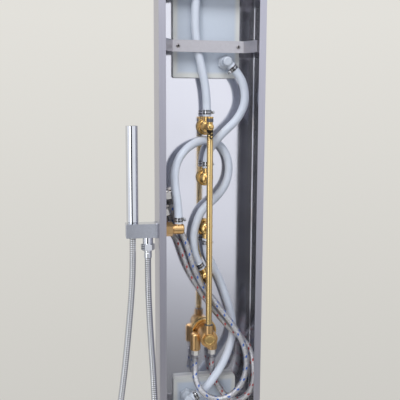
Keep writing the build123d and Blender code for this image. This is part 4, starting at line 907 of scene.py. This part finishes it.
class MakeMixer(bpy.types.Operator):
    """Make the mixer: a cast body with two inlets and the riser's socket, its turned cap and lock ring."""
    bl_idname = "column.make_mixer"
    bl_label = "Mixer"

    def execute(self, context):
        centre = (0, 0, MIXER_Z)
        parts = [lathe(MIXER_TURNING, centre, OUTWARD, 80, ease=0.6),
                 lathe(SOCKET_TURNING, (0, RISER_Y, MIXER_Z), UP, ease=0.8),
                 lathe(BRIDGE_TURNING, (INLET_X["cold"], INLET_Y, MIXER_Z - BRIDGE_DROP), ACROSS, ease=0.5)]
        for side, x in INLET_X.items():
            outline = INLET_FOOT + [(radius, INLET_HEIGHTS[side] + drop) for radius, drop in INLET_CROWN]
            parts.append(lathe(outline, (x, INLET_Y, INLET_END), UP, ease=1.2))
        make_piece("mixer_body_cast", parts, "brass_cast", "mixer_body")
        make_piece("mixer_cap_turned", [lathe(CAP_TURNING, centre, OUTWARD, ease=0.6)], "brass_turned",
                   "mixer_end_cap")
        make_piece("mixer_ring_turned", [lathe(LOCK_RING_TURNING, centre, OUTWARD, 80, ease=0.8)],
                   "brass_turned", "mixer_lock_ring")
        show_cad("brass_turned", "mixer_front_nut")
        show_cad("acetal_white", "temperature_cartridge")
        return {"FINISHED"}


class MakeOutlets(bpy.types.Operator):
    """Make the handset's and the overhead shower's brass elbows with their threads and lock nuts."""
    bl_idname = "column.make_outlets"
    bl_label = "Outlets"

    def execute(self, context):
        axis = (0, HOLDER_Y, HOLDER_Z)
        start, end = OUTLET_THREAD
        thread = [(0, start)] + threaded(THREAD_RADIUS, start, end) + [(0, end)]
        parts = [lathe(thread, axis, ACROSS), lathe(OUTLET_TURNING, axis, ACROSS, ease=0.8),
                 hex_nut((end, HOLDER_Y, HOLDER_Z), ACROSS, *OUTLET_HEX),
                 barb((OUTLET_BARB[0], HOLDER_Y, HOLDER_Z), UP, OUTLET_SHOULDER)]
        make_piece("outlet_elbow_cast", parts, "brass_cast", "outlet_elbow")
        thread = threaded(THREAD_RADIUS, *OVERHEAD_THREAD)
        outline = eased(OVERHEAD_BACK, 0.5).tolist() + thread + OVERHEAD_FRONT
        parts = [lathe(outline, (0, 0, OVERHEAD_Z), OUTWARD),
                 barb((0, OVERHEAD_START[1], OVERHEAD_Z), DOWN, OVERHEAD_SHOULDER)]
        make_piece("overhead_elbow_cast", parts, "brass_cast", "overhead_elbow")
        nuts = [hex_nut((SIDE_NUT_X, HOLDER_Y, HOLDER_Z), ACROSS, *LOCK_NUT),
                hex_nut((0, FRONT_NUT_Y, OVERHEAD_Z), OUTWARD, *LOCK_NUT)]
        make_piece("lock_nuts_chamfered", nuts, "brass_turned", "lock_nuts")
        return {"FINISHED"}


class DressChrome(bpy.types.Operator):
    """Finish the handset, its holder and the knobs, and make the handset's soft nozzles."""
    bl_idname = "column.dress_chrome"
    bl_label = "Chrome"

    def execute(self, context):
        knobs = [f"stop_knob_{i + 1}" for i in range(len(VALVE_Z))]
        show_cad("chrome_polished", "handset_handle", "handset_head", "handset_cone", "outlet_nipple",
                 "temperature_knob", "knob_button", "mixer_escutcheon", *knobs)
        show_cad("chrome_satin", "holder_block", "holder_flange")
        show_cad("silicone_grey", "handset_spray_face")
        across = HANDSET_X + np.arange(-1, 2) * NOZZLE_SPACING
        along = SPRAY_MIDDLE_Z + np.arange(-4, 5) * NOZZLE_SPACING
        nozzles = [lathe(NOZZLE_TURNING, (x, SPRAY_FACE_Y, z), OUTWARD, 12) for x in across for z in along]
        make_piece("handset_nozzles", nozzles, "silicone_grey")
        return {"FINISHED"}


def make_floor(drop):
    """A flat disc: (r cos t, r sin t, drop)."""
    mesh = bpy.data.meshes.new("studio_floor")
    t = angles(96)
    rim = np.stack([FLOOR_RADIUS * np.cos(t), FLOOR_RADIUS * np.sin(t), np.full_like(t, drop)], axis=1)
    mesh.from_pydata(rim.tolist(), [], [list(range(len(t)))])
    mesh.materials.append(MATERIALS["floor_paint"])
    floor = bpy.data.objects.new("studio_floor", mesh)
    bpy.context.scene.collection.objects.link(floor)


def make_world():
    """A pale room: bright above, falling off below, with a dark gap on the side that a viewer stands in."""
    scene = bpy.context.scene
    scene.view_settings.view_transform = "Standard"
    world = bpy.data.worlds.new("studio")
    scene.world = world
    world.use_nodes = True
    tree = world.node_tree
    tree.nodes.clear()
    smooth = {"interpolation_type": "SMOOTHSTEP"}
    way = add(tree, "TexCoord").outputs["Generated"]
    at = add(tree, "SeparateXYZ", (way,)).outputs
    gap_right = add(tree, "MapRange", (at["X"], -0.02, 0.10), **smooth)
    gap_left = add(tree, "MapRange", (at["X"], -0.42, -0.33, 1.0, 0.0), **smooth)
    beside = add(tree, "Math", (gap_right, gap_left), operation="MAXIMUM")
    sideways = add(tree, "MapRange", (beside, 0.0, 1.0, 0.05, 1.0))
    height = add(tree, "MapRange", (at["Z"], -0.6, 0.25, 0.58, 1.3))
    below = add(tree, "MapRange", (at["Z"], -0.48, -0.15, 0.25), **smooth)
    upright = add(tree, "Math", (height, below), operation="MULTIPLY")
    room = add(tree, "Math", (sideways, upright), operation="MULTIPLY")
    behind = add(tree, "MapRange", (at["Y"], -0.15, 0.15), **smooth)
    backdrop = add(tree, "MapRange", (at["Z"], -0.45, 0.15, 0.70, 0.88))
    strength = add(tree, "Mix", {"Factor": behind, "A": room, "B": backdrop}, data_type="FLOAT")
    colour = add(tree, "Mix", {"Factor": behind, "A": linear("#f3f5fb"), "B": linear("#f0eee8")},
                 data_type="RGBA")
    light = add(tree, "Background", (colour, strength))
    add(tree, "OutputWorld", (light,))


def put(thing, place, right, up, back):
    """Puts a light or a camera at a place, with its own axes along right, up and back."""
    turn = Matrix(np.stack([right, up, back], axis=1).tolist()).to_4x4()
    thing.matrix_world = Matrix.Translation(place) @ turn
    bpy.context.scene.collection.objects.link(thing)


def make_light(name, place, target, size, power):
    """A rectangular soft light at a place, facing a target."""
    data = bpy.data.lights.new(name, "AREA")
    data.shape = "RECTANGLE"
    data.size, data.size_y = size
    data.energy = power
    back = unit(np.subtract(place, target))
    right = unit(np.cross(UP, back))
    put(bpy.data.objects.new(name, data), place, right, np.cross(back, right), back)


def make_camera():
    """A long lens at the wall side, turned towards +X, tipped down and rolled a little."""
    level = np.array([math.cos(CAMERA_YAW), -math.sin(CAMERA_YAW), 0])
    onward = np.array([math.sin(CAMERA_YAW), math.cos(CAMERA_YAW), 0])
    ahead = math.cos(CAMERA_PITCH) * onward - math.sin(CAMERA_PITCH) * np.array(UP)
    over = np.cross(level, ahead)
    right = math.cos(CAMERA_ROLL) * level + math.sin(CAMERA_ROLL) * over
    up = -math.sin(CAMERA_ROLL) * level + math.cos(CAMERA_ROLL) * over
    data = bpy.data.cameras.new("camera")
    data.lens = FOCAL_PIXELS / PICTURE_PIXELS * SENSOR_WIDTH
    data.sensor_width = SENSOR_WIDTH
    data.sensor_fit = "HORIZONTAL"
    data.clip_start = 0.02
    camera = bpy.data.objects.new("camera", data)
    put(camera, CAMERA_PLACE, right, up, -ahead)
    bpy.context.scene.camera = camera


class MakeStage(bpy.types.Operator):
    """Make the pale floor, the soft studio light and the camera."""
    bl_idname = "column.make_stage"
    bl_label = "Studio"

    def execute(self, context):
        studio = context.scene.column_studio
        make_floor(studio.floor_drop)
        make_world()
        make_light("key", KEY_PLACE, KEY_TARGET, KEY_SIZE, studio.key_power)
        make_light("strip", STRIP_PLACE, STRIP_TARGET, STRIP_SIZE, studio.strip_power)
        make_camera()
        return {"FINISHED"}


STEPS = (DressSheet, DressJets, MakeJetElbows, MakeStrapScrews, MakeFeedHoses, MakeInletHoses, MakeShowerHose,
         MakeHoseClamps, MakeRiser, MakeStopValves, MakeMixer, MakeOutlets, DressChrome, MakeStage)


class ColumnPanel(bpy.types.Panel):
    """Lists the column's settings and steps in the 3D view's sidebar."""
    bl_idname = "VIEW3D_PT_shower_column"
    bl_label = "Shower column"
    bl_space_type = "VIEW_3D"
    bl_region_type = "UI"
    bl_category = "Shower column"

    def draw(self, context):
        for group in (context.scene.column_finish, context.scene.column_studio):
            for name in group.__annotations__:
                self.layout.prop(group, name)
        for step in STEPS:
            self.layout.operator(step.bl_idname)


CLASSES = (ColumnFinish, StudioSettings, *STEPS, ColumnPanel)


def register():
    """Registers the settings, the steps and the panel."""
    for item in CLASSES:
        bpy.utils.register_class(item)
    bpy.types.Scene.column_finish = PointerProperty(type=ColumnFinish)
    bpy.types.Scene.column_studio = PointerProperty(type=StudioSettings)


def unregister():
    """Takes the settings, the steps and the panel away again."""
    del bpy.types.Scene.column_studio
    del bpy.types.Scene.column_finish
    for item in reversed(CLASSES):
        bpy.utils.unregister_class(item)


def main():
    register()
    make_materials()
    for step in STEPS:
        group, name = step.bl_idname.split(".")
        getattr(getattr(bpy.ops, group), name)()


if __name__ == "__main__":
    main()
